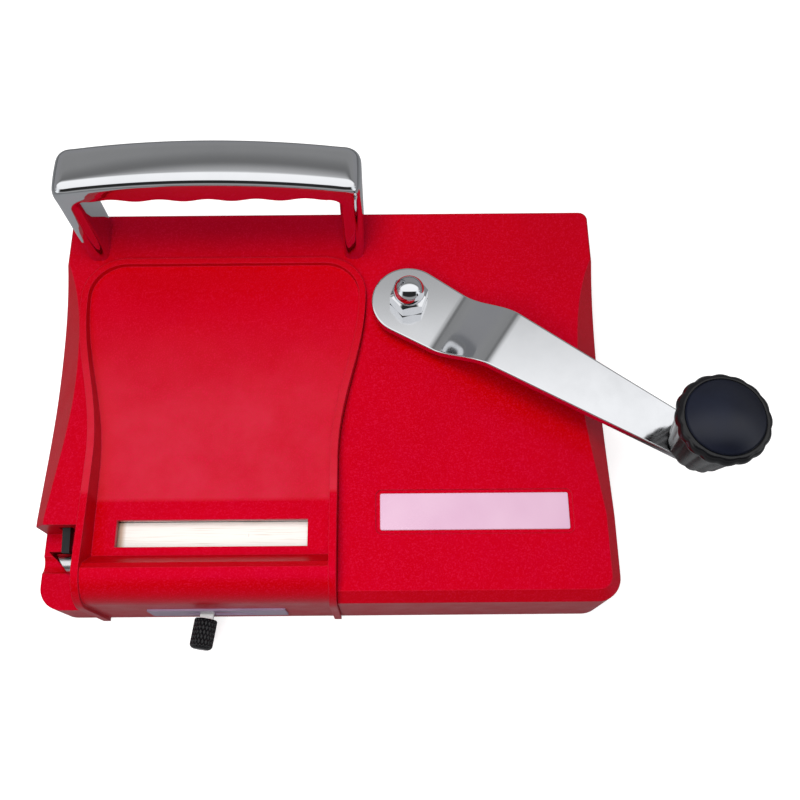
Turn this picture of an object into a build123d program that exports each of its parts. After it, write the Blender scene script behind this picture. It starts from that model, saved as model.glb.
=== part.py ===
from build123d import *
import os
from math import atan, cos, degrees, pi, radians, sin, sqrt, tan

os.makedirs("parts", exist_ok=True)

# A crank-operated tabletop tube-filling machine.
# Frame: origin on the table under the middle of the housing, +X right, +Y back, +Z up, millimetres.

# ---------------------------------------------------------------- driving dimensions
body_width = 240.0
body_depth = 179.4
foot_height = 3.0
body_top = 42.7
wall = 2.5
edge_bevel = 4.3
front_corner_radius = 10.0
rear_corner_radius = 4.0

hopper_centre_x = -46.8
hopper_front_half = 52.0
hopper_rear_half = 63.5
hopper_rear_y = 65.0
hopper_proud = 1.5
rim_thickness = 3.0
rim_rear_top = 45.6
rim_front_top = 53.0
tray_sheet = 2.5

notch_back_y = -57.5
deck_top = 25.5

crank_x = 35.7
crank_y = 38.9
crank_radius = 134.0
crank_rest_angle = -32.2
crank_swing = 145.0
arm_low = 52.5
arm_high = 65.3
arm_thickness = 4.0

pinion_teeth = 28
gear_module = 2.0
cam_start_radius = 14.0
cam_rise_per_radian = 4.6

nozzle_y = -70.8
nozzle_z = 28.0

lever_x = -45.5
lever_y = -54.0
lever_z = 17.5
lever_rest_angle = 8.3

# ---------------------------------------------------------------- derived dimensions
half_w = body_width / 2
half_d = body_depth / 2
front_y = -half_d
floor_top = foot_height + 2.0
ceiling = body_top - wall
crank_angle = radians(crank_rest_angle)
knob_x = crank_x + crank_radius * cos(crank_angle)
knob_y = crank_y + crank_radius * sin(crank_angle)
pinion_radius = gear_module * pinion_teeth / 2
rack_pitch_y = crank_y - pinion_radius
rim_left = hopper_centre_x - hopper_front_half
rim_right = hopper_centre_x + hopper_front_half
fit_gap = 0.15
chassis_bottom = 22.4
chassis_top = 25.4


def finish(builder, label):
    """Label a finished piece and write it."""
    builder.part.label = label
    export_step(builder.part, f"parts/{label}.step")


# ---------------------------------------------------------------- shared outlines
with BuildSketch() as body_plan:
    Rectangle(body_width, body_depth)
    fillet(body_plan.vertices().group_by(Axis.Y)[0], front_corner_radius)
    fillet(body_plan.vertices().group_by(Axis.Y)[-1], rear_corner_radius)

with BuildSketch() as body_core:
    add(body_plan.sketch)
    offset(amount=-wall)

flare_start_y = -32.0
flare_end_y = 46.0
hopper_corner = 19.0
hopper_front_y = front_y - hopper_proud


def hopper_outline(inset, front_inset):
    """Keystone outline of the hopper, stepped inwards by inset on its sides and back."""
    front_half = hopper_front_half - inset
    rear_half = hopper_rear_half - inset
    rear = hopper_rear_y - inset
    front = hopper_front_y + front_inset
    corner = hopper_corner - inset
    with BuildSketch() as outline:
        with Locations((hopper_centre_x, 0)):
            with BuildLine() as edge:
                Line((front_half, front), (front_half, flare_start_y))
                Spline(
                    (front_half, flare_start_y),
                    (rear_half, flare_end_y),
                    tangents=((0, 1), (0, 1)),
                )
                RadiusArc((rear_half, flare_end_y), (rear_half - corner, rear), -corner)
                Line((rear_half - corner, rear), (0, rear))
                mirror(about=Plane.YZ)
                Line((front_half, front), (-front_half, front))
            add(make_face(edge.edges(), mode=Mode.PRIVATE))
    return outline


hopper_plan = hopper_outline(0, 0)
hopper_core = hopper_outline(rim_thickness, -rim_thickness)
hopper_opening = hopper_outline(-fit_gap, -fit_gap)

# ---------------------------------------------------------------- housing
scoop_depth = 10.2
scoop_points = [
    (half_w - 3.2, -64.0),
    (half_w - 6.8, -36.0),
    (half_w - scoop_depth, -4.0),
    (half_w - scoop_depth + 0.4, 24.0),
    (half_w - 7.4, 43.0),
    (half_w + 1.0, 68.0),
]
bevel_end_y = 52.0
cavity_taper_start = 31.5
deck_bottom = deck_top - wall
base_screw_x = half_w - 12.0
base_screw_y = half_d - 12.0
handle_x_left = -106.0
handle_x_right = 11.4
handle_screw_y = 75.0
name_plate_centre = (61.5, -53.2)
name_plate_size = (77.8, 15.4)
name_recess_size = (81.4, 18.6)
name_recess_depth = 0.7
bush_boss_bottom = 34.6
bush_boss_radius = 12.5
bush_ring_top = 44.0
bush_outer = 9.0
clamp_x = -108.1
clamp_pivot_y = -47.0
clamp_pivot_z = 34.0
clamp_pin_radius = 1.5
tube_groove_radius = 4.4

with BuildPart() as housing:
    with BuildSketch(Plane.XY.offset(foot_height)):
        add(body_plan.sketch)
    extrude(amount=body_top - edge_bevel - foot_height)
    with BuildSketch(Plane.XY.offset(body_top - edge_bevel)):
        add(body_plan.sketch)
    extrude(amount=edge_bevel, taper=45)
    with BuildSketch(Plane.XY.offset(body_top - edge_bevel)) as rear_block:
        with Locations((0, (bevel_end_y + half_d) / 2)):
            Rectangle(body_width, half_d - bevel_end_y)
        fillet(rear_block.vertices().group_by(Axis.Y)[-1], rear_corner_radius)
    extrude(amount=edge_bevel)
    # A long shallow scoop on each side: a bevel that widens, then runs out towards the back.
    for side in (1, -1):
        with BuildSketch(Plane.XY.offset(body_top)):
            with BuildLine():
                Spline(*[(side * x, y) for x, y in scoop_points])
                Polyline(
                    (side * scoop_points[-1][0], scoop_points[-1][1]),
                    (side * (half_w + 20), scoop_points[-1][1]),
                    (side * (half_w + 20), scoop_points[0][1]),
                    (side * scoop_points[0][0], scoop_points[0][1]),
                )
            make_face()
        extrude(amount=20, dir=(side, 0, -1), mode=Mode.SUBTRACT)
    rear_top_edge = housing.edges().filter_by(Axis.X).group_by(Axis.Y)[-1].sort_by(Axis.Z)[-1]
    fillet(rear_top_edge, 1.2)
    # The hollow keeps a full block of material around the left-front notch.
    with BuildSketch(Plane.XY.offset(foot_height)):
        add(body_core.sketch)
    extrude(amount=deck_bottom - foot_height, mode=Mode.SUBTRACT)
    with BuildSketch(Plane.XY.offset(deck_bottom)) as upper_core:
        add(body_core.sketch)
        with Locations((rim_left, notch_back_y + wall)):
            Rectangle(body_width, body_depth, align=(Align.MAX, Align.MAX), mode=Mode.SUBTRACT)
    extrude(amount=cavity_taper_start - deck_bottom, mode=Mode.SUBTRACT)
    with BuildSketch(Plane.XY.offset(cavity_taper_start)):
        add(upper_core.sketch)
    extrude(amount=ceiling - cavity_taper_start, taper=45, mode=Mode.SUBTRACT)
    # Left-front notch down to the deck.
    with Locations((rim_left - fit_gap, notch_back_y, deck_top)):
        Box(half_w, half_d, body_top, align=(Align.MAX, Align.MAX, Align.MIN), mode=Mode.SUBTRACT)
    # Opening for the hopper cover, through the top and down the front.
    with BuildSketch(Plane.XY.offset(deck_bottom)):
        add(hopper_opening.sketch)
    extrude(amount=body_top, mode=Mode.SUBTRACT)
    with Locations((hopper_centre_x, front_y, 0)):
        Box(
            2 * (hopper_front_half + fit_gap),
            4 * wall,
            body_top,
            align=(Align.CENTER, Align.CENTER, Align.MIN),
            mode=Mode.SUBTRACT,
        )
    # Wedge-shaped relief in the deck under the nozzle.
    with BuildSketch(Plane.XY.offset(deck_bottom)):
        with BuildLine():
            Polyline((-118.2, -65.2), (rim_left + 1, -65.2), (rim_left + 1, -85.0), close=True)
        make_face()
    extrude(amount=wall + 1, mode=Mode.SUBTRACT)
    # Round groove that lets a tube and the spoon leave over the left edge.
    with Locations(Location((-half_w - 1, nozzle_y, nozzle_z), (0, 90, 0))):
        Cylinder(tube_groove_radius, 14, align=(Align.CENTER, Align.CENTER, Align.MIN),
                 mode=Mode.SUBTRACT)
    # Window for the tube clamp in the wall behind the notch, and two ears for its pin.
    with Locations((clamp_x, notch_back_y + wall, 28.5)):
        Box(5.8, 6 * wall, 9.0, align=(Align.CENTER, Align.CENTER, Align.MIN), mode=Mode.SUBTRACT)
    with Locations((clamp_x - 5.4, clamp_pivot_y, 30.5), (clamp_x + 5.4, clamp_pivot_y, 30.5)):
        Box(2.0, 6.0, ceiling - 30.0, align=(Align.CENTER, Align.CENTER, Align.MIN))
    with Locations(Location((clamp_x, clamp_pivot_y, clamp_pivot_z), (0, 90, 0))):
        Cylinder(clamp_pin_radius + 0.02, 14, mode=Mode.SUBTRACT)
    # Screw bosses.
    with Locations((base_screw_x, base_screw_y, floor_top), (-base_screw_x, base_screw_y, floor_top),
                   (base_screw_x, -base_screw_y, floor_top)):
        Cylinder(4.5, ceiling + 1 - floor_top, align=(Align.CENTER, Align.CENTER, Align.MIN))
    with Locations((-base_screw_x, -base_screw_y, floor_top)):
        Cylinder(4.5, deck_top - 1 - floor_top, align=(Align.CENTER, Align.CENTER, Align.MIN))
    with Locations(*[(sx * base_screw_x, sy * base_screw_y, floor_top) for sx in (1, -1) for sy in (1, -1)]):
        Cylinder(2.05, 12, align=(Align.CENTER, Align.CENTER, Align.MIN), mode=Mode.SUBTRACT)
    # Handle screws: clearance holes with the heads let in from below.
    with Locations((handle_x_left, handle_screw_y, 30), (handle_x_right, handle_screw_y, 30)):
        Cylinder(5.0, 8.7, align=(Align.CENTER, Align.CENTER, Align.MIN), mode=Mode.SUBTRACT)
        Cylinder(2.6, 20, align=(Align.CENTER, Align.CENTER, Align.MIN), mode=Mode.SUBTRACT)
    # Boss for the upper bush, with a low ring on top.
    with Locations((crank_x, crank_y, bush_boss_bottom)):
        Cylinder(bush_boss_radius, bush_ring_top - bush_boss_bottom,
                 align=(Align.CENTER, Align.CENTER, Align.MIN))
        Cylinder(bush_outer + 0.02, 20, align=(Align.CENTER, Align.CENTER, Align.MIN), mode=Mode.SUBTRACT)
    # Name plate recess.
    with BuildSketch(Plane.XY.offset(body_top - name_recess_depth)):
        with Locations(name_plate_centre):
            RectangleRounded(*name_recess_size, 2.6)
    extrude(amount=5, mode=Mode.SUBTRACT)
finish(housing, "housing")

# ---------------------------------------------------------------- hopper cover
tray_rear_z = 43.3
tray_crease_y = -47.0
tray_floor_z = 39.0
tray_floor_end_y = -69.8
lip_back_y = -74.6
lip_back_z = 49.4
lip_radius = 12.7
lip_top_y = front_y + lip_radius
lip_top_z = rim_front_top - hopper_proud
slot_centre = (-47.0, -60.65)
slot_size = (79.2, 11.3)
cover_boss_points = [(-91.0, -32.0), (-1.2, -40.0), (-96.0, 40.0), (-2.0, 46.0)]
slit_centre = (lever_x, lever_z + 0.2)
slit_half_length = 17.0
slit_half_height = 3.2

with BuildSketch() as lever_slit:
    with BuildLine():
        for sign in (1, -1):
            ThreePointArc(
                (slit_centre[0] - slit_half_length, slit_centre[1]),
                (slit_centre[0], slit_centre[1] + sign * slit_half_height),
                (slit_centre[0] + slit_half_length, slit_centre[1]),
            )
    make_face()

rim_arc = hopper_proud + lip_radius + 0.8


def tray_height(y):
    """Height of the sloping tray floor at a depth y."""
    slope = (tray_rear_z - tray_floor_z) / (hopper_rear_y - 1 - tray_crease_y)
    return tray_floor_z + slope * max(y - tray_crease_y, 0)


with BuildPart() as hopper_sheet:
    # Tray floor, feed zone, front slope, rounded lip and front panel as one bent sheet.
    with BuildSketch(Plane.YZ.offset(-half_w)):
        with BuildLine():
            Polyline(
                (hopper_rear_y - 1, tray_rear_z),
                (tray_crease_y, tray_floor_z),
                (tray_floor_end_y, tray_floor_z),
                (lip_back_y, lip_back_z),
                (lip_top_y, lip_top_z),
            )
            RadiusArc((lip_top_y, lip_top_z), (front_y, lip_top_z - lip_radius), -lip_radius)
            Line((front_y, lip_top_z - lip_radius), (front_y, foot_height))
            Polyline(
                (front_y, foot_height),
                (front_y + tray_sheet, foot_height),
                (front_y + tray_sheet, lip_top_z - lip_radius),
            )
            RadiusArc(
                (front_y + tray_sheet, lip_top_z - lip_radius),
                (lip_top_y, lip_top_z - tray_sheet),
                lip_radius - tray_sheet,
            )
            Polyline(
                (lip_top_y, lip_top_z - tray_sheet),
                (lip_back_y - 1.4, lip_top_z - tray_sheet),
                (tray_floor_end_y - 1.5, tray_floor_z - tray_sheet),
                (tray_crease_y, tray_floor_z - tray_sheet),
                (hopper_rear_y - 1, tray_rear_z - tray_sheet),
                (hopper_rear_y - 1, tray_rear_z),
            )
        make_face()
    extrude(amount=body_width)
    with BuildSketch():
        add(hopper_plan.sketch)
        with Locations((hopper_centre_x, hopper_rear_y)):
            Rectangle(body_width, 2 * fit_gap, mode=Mode.SUBTRACT)
    extrude(amount=2 * body_top, mode=Mode.INTERSECT)

with BuildPart() as hopper_rim:
    with BuildSketch():
        add(hopper_plan.sketch)
        add(hopper_core.sketch, mode=Mode.SUBTRACT)
    extrude(amount=2 * body_top)
    with BuildSketch(Plane.YZ.offset(-half_w)):
        with BuildLine():
            Polyline(
                (hopper_rear_y + 1, 38.0),
                (hopper_rear_y + 1, rim_rear_top),
                (hopper_front_y + rim_arc, rim_front_top),
            )
            RadiusArc(
                (hopper_front_y + rim_arc, rim_front_top),
                (hopper_front_y, rim_front_top - rim_arc),
                -rim_arc,
            )
            Polyline(
                (hopper_front_y, rim_front_top - rim_arc),
                (hopper_front_y, foot_height),
                (front_y + tray_sheet, foot_height),
                (front_y + tray_sheet, chassis_bottom),
                (notch_back_y + 1.5, chassis_bottom),
                (notch_back_y + 1.5, 38.0),
                (hopper_rear_y + 1, 38.0),
            )
        make_face()
    extrude(amount=body_width, mode=Mode.INTERSECT)

with BuildPart() as hopper_cover:
    add(hopper_sheet.part)
    add(hopper_rim.part)
    # Posts that carry the cover on the chassis.
    for x, y in cover_boss_points:
        with Locations((x, y, chassis_top)):
            Cylinder(3.2, tray_height(y) - 1 - chassis_top,
                     align=(Align.CENTER, Align.CENTER, Align.MIN))
            Cylinder(1.3, 10, align=(Align.CENTER, Align.CENTER, Align.MIN), mode=Mode.SUBTRACT)
    # Feed slot in the tray floor.
    with Locations((*slot_centre, tray_floor_z)):
        Box(*slot_size, 3 * tray_sheet, mode=Mode.SUBTRACT)
    # Nozzle hole in the left wall.
    with Locations(Location((rim_left, nozzle_y, nozzle_z), (0, 90, 0))):
        Cylinder(4.3, 4 * rim_thickness, mode=Mode.SUBTRACT)
    # Lens-shaped slit for the density lever.
    with BuildSketch(Plane.XZ.offset(half_d + 1)):
        add(lever_slit.sketch)
    extrude(amount=-2 * tray_sheet, mode=Mode.SUBTRACT)
finish(hopper_cover, "hopper_cover")

# ---------------------------------------------------------------- name plate and front label
with BuildPart() as name_plate:
    with BuildSketch(Plane.XY.offset(body_top - name_recess_depth)):
        with Locations(name_plate_centre):
            RectangleRounded(*name_plate_size, 0.8)
    extrude(amount=0.9)
    chamfer(name_plate.edges().group_by(Axis.Z)[-1], 0.2)
finish(name_plate, "name_plate")

label_centre = (-45.7, 19.6)
label_size = (57.4, 14.6)
label_thickness = 0.8

with BuildPart() as front_label:
    with BuildSketch(Plane.XZ.offset(half_d)):
        with Locations(label_centre):
            RectangleRounded(*label_size, 1.0)
        add(lever_slit.sketch, mode=Mode.SUBTRACT)
    extrude(amount=label_thickness)
finish(front_label, "front_label")

# ---------------------------------------------------------------- base plate, feet and screws
foot_points = [(sx * 102.0, sy * 58.0) for sx in (1, -1) for sy in (1, -1)]
middle_foot_point = (0.0, 0.0)
base_screw_points = [(sx * base_screw_x, sy * base_screw_y) for sx in (1, -1) for sy in (1, -1)]
post_points = [(-92.5, -46.0), (75.0, -46.0), (-90.0, 70.0), (75.0, 70.0)]
foot_radius = 8.0

with BuildPart() as base_plate:
    with BuildSketch(Plane.XY.offset(foot_height)):
        add(body_core.sketch)
        offset(amount=-0.2)
    extrude(amount=floor_top - foot_height)
    with Locations(*[(x, y, foot_height) for x, y in foot_points]):
        Cylinder(3.02, 6, mode=Mode.SUBTRACT)
    with Locations(*[(x, y, foot_height) for x, y in base_screw_points]):
        Cylinder(2.2, 6, mode=Mode.SUBTRACT)
        Cone(4.1, 2.2, 1.9, align=(Align.CENTER, Align.CENTER, Align.MIN), mode=Mode.SUBTRACT)
    with Locations((crank_x, crank_y, foot_height)):
        Cylinder(bush_outer + 0.02, 6, mode=Mode.SUBTRACT)
finish(base_plate, "base_plate")

with BuildPart() as rubber_feet:
    with Locations(middle_foot_point, *foot_points):
        Cylinder(foot_radius, foot_height, align=(Align.CENTER, Align.CENTER, Align.MIN))
    with Locations(*foot_points):
        Cylinder(3.0, floor_top + 0.2, align=(Align.CENTER, Align.CENTER, Align.MIN))
        with Locations((0, 0, floor_top + 0.1)):
            Cone(4.0, 2.4, 1.6, align=(Align.CENTER, Align.CENTER, Align.MIN))
    chamfer(rubber_feet.edges().filter_by(GeomType.CIRCLE).group_by(Axis.Z)[0], 0.6)
finish(rubber_feet, "rubber_feet")

with BuildPart() as base_screws:
    with Locations(*[(x, y, foot_height) for x, y in base_screw_points]):
        Cone(4.0, 2.0, 1.9, align=(Align.CENTER, Align.CENTER, Align.MIN))
        Cylinder(2.0, 13, align=(Align.CENTER, Align.CENTER, Align.MIN))
        Box(1.0, 4.4, 1.6, mode=Mode.SUBTRACT)
        Box(4.4, 1.0, 1.6, mode=Mode.SUBTRACT)
finish(base_screws, "base_screws")

# ---------------------------------------------------------------- chassis and posts
chassis_centre = (-7.5, 12.0)
chassis_size = (179.0, 132.0)
chassis_corner = 6.0
chassis_window_centre = (-40.0, 36.0)
chassis_window_size = (60.0, 34.0)

with BuildPart() as chassis_plate:
    with BuildSketch(Plane.XY.offset(chassis_bottom)):
        with Locations(chassis_centre):
            RectangleRounded(*chassis_size, chassis_corner)
        with Locations((crank_x, crank_y)):
            Circle(bush_outer + 0.02, mode=Mode.SUBTRACT)
        with Locations(*cover_boss_points):
            Circle(1.7, mode=Mode.SUBTRACT)
        with Locations(*post_points):
            Circle(1.7, mode=Mode.SUBTRACT)
        with Locations(chassis_window_centre):
            SlotOverall(*chassis_window_size, mode=Mode.SUBTRACT)
    extrude(amount=chassis_top - chassis_bottom)
finish(chassis_plate, "chassis_plate")

with BuildPart() as chassis_posts:
    with Locations(*[(x, y, floor_top) for x, y in post_points]):
        Cylinder(4.0, chassis_bottom - floor_top, align=(Align.CENTER, Align.CENTER, Align.MIN))
        Cylinder(1.65, chassis_top + 1.2 - floor_top, align=(Align.CENTER, Align.CENTER, Align.MIN))
finish(chassis_posts, "chassis_posts")

with BuildPart() as cover_screws:
    with Locations(*[(x, y, chassis_bottom - 1.8) for x, y in cover_boss_points]):
        Cylinder(2.6, 1.8, align=(Align.CENTER, Align.CENTER, Align.MIN))
        Cylinder(1.25, 11, align=(Align.CENTER, Align.CENTER, Align.MIN))
finish(cover_screws, "cover_screws")

# ---------------------------------------------------------------- carry handle
handle_left = -110.8
handle_right = 16.2
handle_leg = 9.6
handle_front_y = 65.5
handle_depth = 21.8
handle_corner_top = 97.7
handle_mid_top = 104.3
handle_underside = 90.3
handle_outer_corner = 7.0
handle_inner_corner = 5.0
handle_edge_radius = 3.8
handle_leg_radius = 3.6
handle_screw_depth = 16.0
scallop_pitch = 19.8
scallop_depth = 1.5
scallop_start = -96.0
scallop_end = 0.4
scallop_phase_x = -76.5
handle_centre_x = (handle_left + handle_right) / 2
handle_centre_y = handle_front_y + handle_depth / 2


def scallop_z(x):
    """Height of the finger-grip wave under the handle bar."""
    return handle_underside - scallop_depth / 2 * cos(2 * pi * (x - scallop_phase_x) / scallop_pitch)


scallop_steps = 28
scallop_xs = [
    scallop_start + (scallop_end - scallop_start) * i / scallop_steps for i in range(scallop_steps + 1)
]

with BuildPart() as carry_handle:
    with BuildSketch(Plane.XZ.offset(-handle_front_y - handle_depth)) as handle_outline:
        with BuildLine():
            ThreePointArc(
                (handle_left, handle_corner_top),
                (handle_centre_x, handle_mid_top),
                (handle_right, handle_corner_top),
            )
            Polyline(
                (handle_right, handle_corner_top),
                (handle_right, body_top),
                (handle_left, body_top),
                (handle_left, handle_corner_top),
            )
        make_face()
        fillet(handle_outline.vertices().group_by(Axis.Y)[-1], handle_outer_corner)
    extrude(amount=handle_depth)
    outer_loop = carry_handle.edges().filter_by(
        lambda e: e.center().Z > body_top + 1
        and abs(abs(e.center().Y - handle_centre_y) - handle_depth / 2) < 0.1
    )
    fillet(outer_loop, handle_edge_radius)
    with BuildSketch(Plane.XZ.offset(-handle_front_y - handle_depth - 1)) as window:
        with BuildLine():
            Spline(*[(x, scallop_z(x)) for x in scallop_xs])
            Polyline(
                (scallop_end, scallop_z(scallop_end)),
                (handle_right - handle_leg, scallop_z(scallop_end)),
                (handle_right - handle_leg, body_top - 1),
                (handle_left + handle_leg, body_top - 1),
                (handle_left + handle_leg, scallop_z(scallop_start)),
                (scallop_start, scallop_z(scallop_start)),
            )
        make_face()
        window_corners = window.vertices().filter_by(
            lambda v: v.Z > body_top and not scallop_start - 1 < v.X < scallop_end + 1
        )
        fillet(window_corners, handle_inner_corner)
    extrude(amount=handle_depth + 2, mode=Mode.SUBTRACT)
    leg_edges = carry_handle.edges().filter_by(Axis.Z).filter_by(
        lambda e: handle_left + handle_leg - 1 < e.center().X < handle_right - handle_leg + 1
    )
    fillet(leg_edges, handle_leg_radius)
    with Locations((handle_x_left, handle_screw_y, body_top), (handle_x_right, handle_screw_y, body_top)):
        Cylinder(2.5, handle_screw_depth, align=(Align.CENTER, Align.CENTER, Align.MIN), mode=Mode.SUBTRACT)
finish(carry_handle, "carry_handle")

with BuildPart() as handle_screws:
    with Locations((handle_x_left, handle_screw_y, 35.6), (handle_x_right, handle_screw_y, 35.6)):
        Cylinder(4.6, 3.1, align=(Align.CENTER, Align.CENTER, Align.MIN))
        Cylinder(2.48, 21, align=(Align.CENTER, Align.CENTER, Align.MIN))
        Cylinder(1.6, 3.2, mode=Mode.SUBTRACT)
finish(handle_screws, "handle_screws")

# ---------------------------------------------------------------- crank shaft and bushes
shaft_radius = 6.0
running = 0.05
press = 0.02
thread_radius = 4.0
square_side = 8.0

with BuildPart() as crank_shaft:
    with Locations((crank_x, crank_y, floor_top + 0.4)):
        Cylinder(shaft_radius, arm_low - arm_thickness - floor_top - 0.4,
                 align=(Align.CENTER, Align.CENTER, Align.MIN))
    with Locations((crank_x, crank_y, arm_low - arm_thickness)):
        Cylinder(thread_radius, 16.5, align=(Align.CENTER, Align.CENTER, Align.MIN))
    with BuildSketch(Plane.XY.offset(arm_low - arm_thickness)):
        with Locations(Location((crank_x, crank_y, 0), (0, 0, crank_rest_angle))):
            Rectangle(square_side, square_side)
    extrude(amount=arm_thickness - 0.2)
    chamfer(crank_shaft.edges().filter_by(GeomType.CIRCLE).group_by(Axis.Z)[0], 0.5)
finish(crank_shaft, "crank_shaft")


def bush(bore_bottom, sleeve_bottom, sleeve_height, flange_bottom, flange_height, flange_radius):
    """A flanged bush for the crank shaft: a plain sleeve and a flange on one axis."""
    with BuildPart() as piece:
        with Locations((crank_x, crank_y, sleeve_bottom)):
            Cylinder(bush_outer, sleeve_height, align=(Align.CENTER, Align.CENTER, Align.MIN))
        with Locations((crank_x, crank_y, flange_bottom)):
            Cylinder(flange_radius, flange_height, align=(Align.CENTER, Align.CENTER, Align.MIN))
        with Locations((crank_x, crank_y, bore_bottom)):
            Cylinder(shaft_radius + running, 60, align=(Align.CENTER, Align.CENTER, Align.MIN),
                     mode=Mode.SUBTRACT)
    return piece


gear_bottom = 13.0
gear_top = 20.0
lower_bush = bush(floor_top + 0.2, foot_height, 4.0, floor_top, gear_bottom - 0.2 - floor_top, 12.0)
finish(lower_bush, "lower_bush")
middle_bush = bush(chassis_bottom, chassis_bottom, 3.2, chassis_top, 0.7, 11.0)
finish(middle_bush, "middle_bush")
upper_bush = bush(bush_boss_bottom, bush_boss_bottom, 10.0, bush_ring_top, 1.4, 11.5)
finish(upper_bush, "upper_bush")

with BuildPart() as shaft_collar:
    with BuildSketch(Plane.XY.offset(bush_ring_top + 1.6)):
        with Locations((crank_x, crank_y)):
            Circle(10.5)
            Circle(shaft_radius + press, mode=Mode.SUBTRACT)
    extrude(amount=arm_low - arm_thickness - bush_ring_top - 1.6)
finish(shaft_collar, "shaft_collar")

# ---------------------------------------------------------------- pinion and rack
pressure_angle = radians(20)
gear_backlash = 0.16
gear_base_radius = pinion_radius * cos(pressure_angle)
gear_tip_radius = pinion_radius + gear_module
gear_root_radius = pinion_radius - 1.25 * gear_module
tooth_step = 2 * pi / pinion_teeth
rack_pitch = pi * gear_module


def roll_angle(radius):
    """Involute polar angle at a radius."""
    spread = sqrt(max((radius / gear_base_radius) ** 2 - 1, 0))
    return spread - atan(spread)


half_tooth = pi / (2 * pinion_teeth) + roll_angle(pinion_radius) - gear_backlash / (2 * pinion_radius)
flank_steps = 5
flank = [(gear_root_radius, half_tooth)] + [
    (radius, half_tooth - roll_angle(radius))
    for radius in (
        gear_base_radius + (gear_tip_radius - gear_base_radius) * i / flank_steps
        for i in range(flank_steps + 1)
    )
]
gear_points = []
for tooth in range(pinion_teeth):
    middle = -pi / 2 + (tooth + 0.5) * tooth_step
    for r, a in [(r, middle - a) for r, a in flank] + [(r, middle + a) for r, a in reversed(flank)]:
        gear_points.append((crank_x + r * cos(a), crank_y + r * sin(a)))

with BuildPart() as drive_pinion:
    with BuildSketch(Plane.XY.offset(gear_bottom)):
        with BuildLine():
            Polyline(*gear_points, close=True)
        make_face()
        with Locations((crank_x, crank_y)):
            with PolarLocations(17.0, 6):
                Circle(4.5, mode=Mode.SUBTRACT)
    extrude(amount=gear_top - gear_bottom)
    with Locations((crank_x, crank_y, gear_top)):
        Cylinder(10.0, chassis_bottom - 0.2 - gear_top, align=(Align.CENTER, Align.CENTER, Align.MIN))
    with Locations((crank_x, crank_y, gear_top)):
        Cylinder(shaft_radius + press, 30, mode=Mode.SUBTRACT)
finish(drive_pinion, "drive_pinion")

rack_left = -30.0
rack_right = 115.5
rack_back_y = 3.0
rack_first_tooth = -2
rack_last_tooth = 12
rack_root_y = rack_pitch_y - 1.25 * gear_module
rack_tip_y = rack_pitch_y + gear_module
half_root = rack_pitch / 4 + 1.25 * gear_module * tan(pressure_angle)
half_tip = rack_pitch / 4 - gear_module * tan(pressure_angle)
carriage_screw_xs = (-26.0, 6.0)
carriage_screw_y = 5.7

with BuildPart() as rack:
    with BuildSketch(Plane.XY.offset(gear_bottom)):
        with BuildLine():
            rack_outline = [(rack_left, rack_back_y), (rack_left, rack_root_y)]
            for tooth in range(rack_first_tooth, rack_last_tooth + 1):
                middle = crank_x + tooth * rack_pitch
                rack_outline += [
                    (middle - half_root, rack_root_y),
                    (middle - half_tip, rack_tip_y),
                    (middle + half_tip, rack_tip_y),
                    (middle + half_root, rack_root_y),
                ]
            rack_outline += [(rack_right, rack_root_y), (rack_right, rack_back_y)]
            Polyline(*rack_outline, close=True)
        make_face()
    extrude(amount=gear_top - gear_bottom)
    with Locations(*[(x, carriage_screw_y, gear_top) for x in carriage_screw_xs]):
        Cylinder(1.3, 10, mode=Mode.SUBTRACT)
finish(rack, "rack")

guide_xs = (-4.0, 94.0)
guide_size = (20.0, 15.4, 14.5)
guide_y = 7.9

with BuildPart() as rack_guides:
    with Locations(*[(x, guide_y, floor_top) for x in guide_xs]):
        Box(*guide_size, align=(Align.CENTER, Align.CENTER, Align.MIN))
    with BuildSketch(Plane.YZ.offset(-half_w)):
        with Locations(((rack_back_y - 0.1 + rack_tip_y + 0.1) / 2, gear_bottom - 0.1)):
            Rectangle(rack_tip_y - rack_back_y + 0.2, 20, align=(Align.CENTER, Align.MIN))
    extrude(amount=body_width, mode=Mode.SUBTRACT)
finish(rack_guides, "rack_guides")

# ---------------------------------------------------------------- carriage and spoon
carriage_left = -16.0
carriage_right = -6.0
carriage_bottom = gear_top
carriage_top = 21.8
spoon_left = -88.0
spoon_radius = 3.5

with BuildPart() as carriage_plate:
    with BuildSketch(Plane.XY.offset(carriage_bottom)):
        with Locations(((carriage_left + carriage_right) / 2, (-73.0 + 8.4) / 2)):
            Rectangle(carriage_right - carriage_left, 81.4)
        with Locations((-10.0, carriage_screw_y)):
            RectangleRounded(40.0, 5.2, 1.0)
        with Locations(*[(x, carriage_screw_y) for x in carriage_screw_xs]):
            Circle(1.6, mode=Mode.SUBTRACT)
    extrude(amount=carriage_top - carriage_bottom)
finish(carriage_plate, "carriage_plate")

with BuildPart() as carriage_screws:
    with Locations(*[(x, carriage_screw_y, gear_top - 4.5) for x in carriage_screw_xs]):
        Cylinder(1.25, carriage_top - gear_top + 4.5, align=(Align.CENTER, Align.CENTER, Align.MIN))
    with Locations(*[(x, carriage_screw_y, carriage_top - 1.0) for x in carriage_screw_xs]):
        Cone(1.25, 1.55, 1.0, align=(Align.CENTER, Align.CENTER, Align.MIN))
finish(carriage_screws, "carriage_screws")

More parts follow.
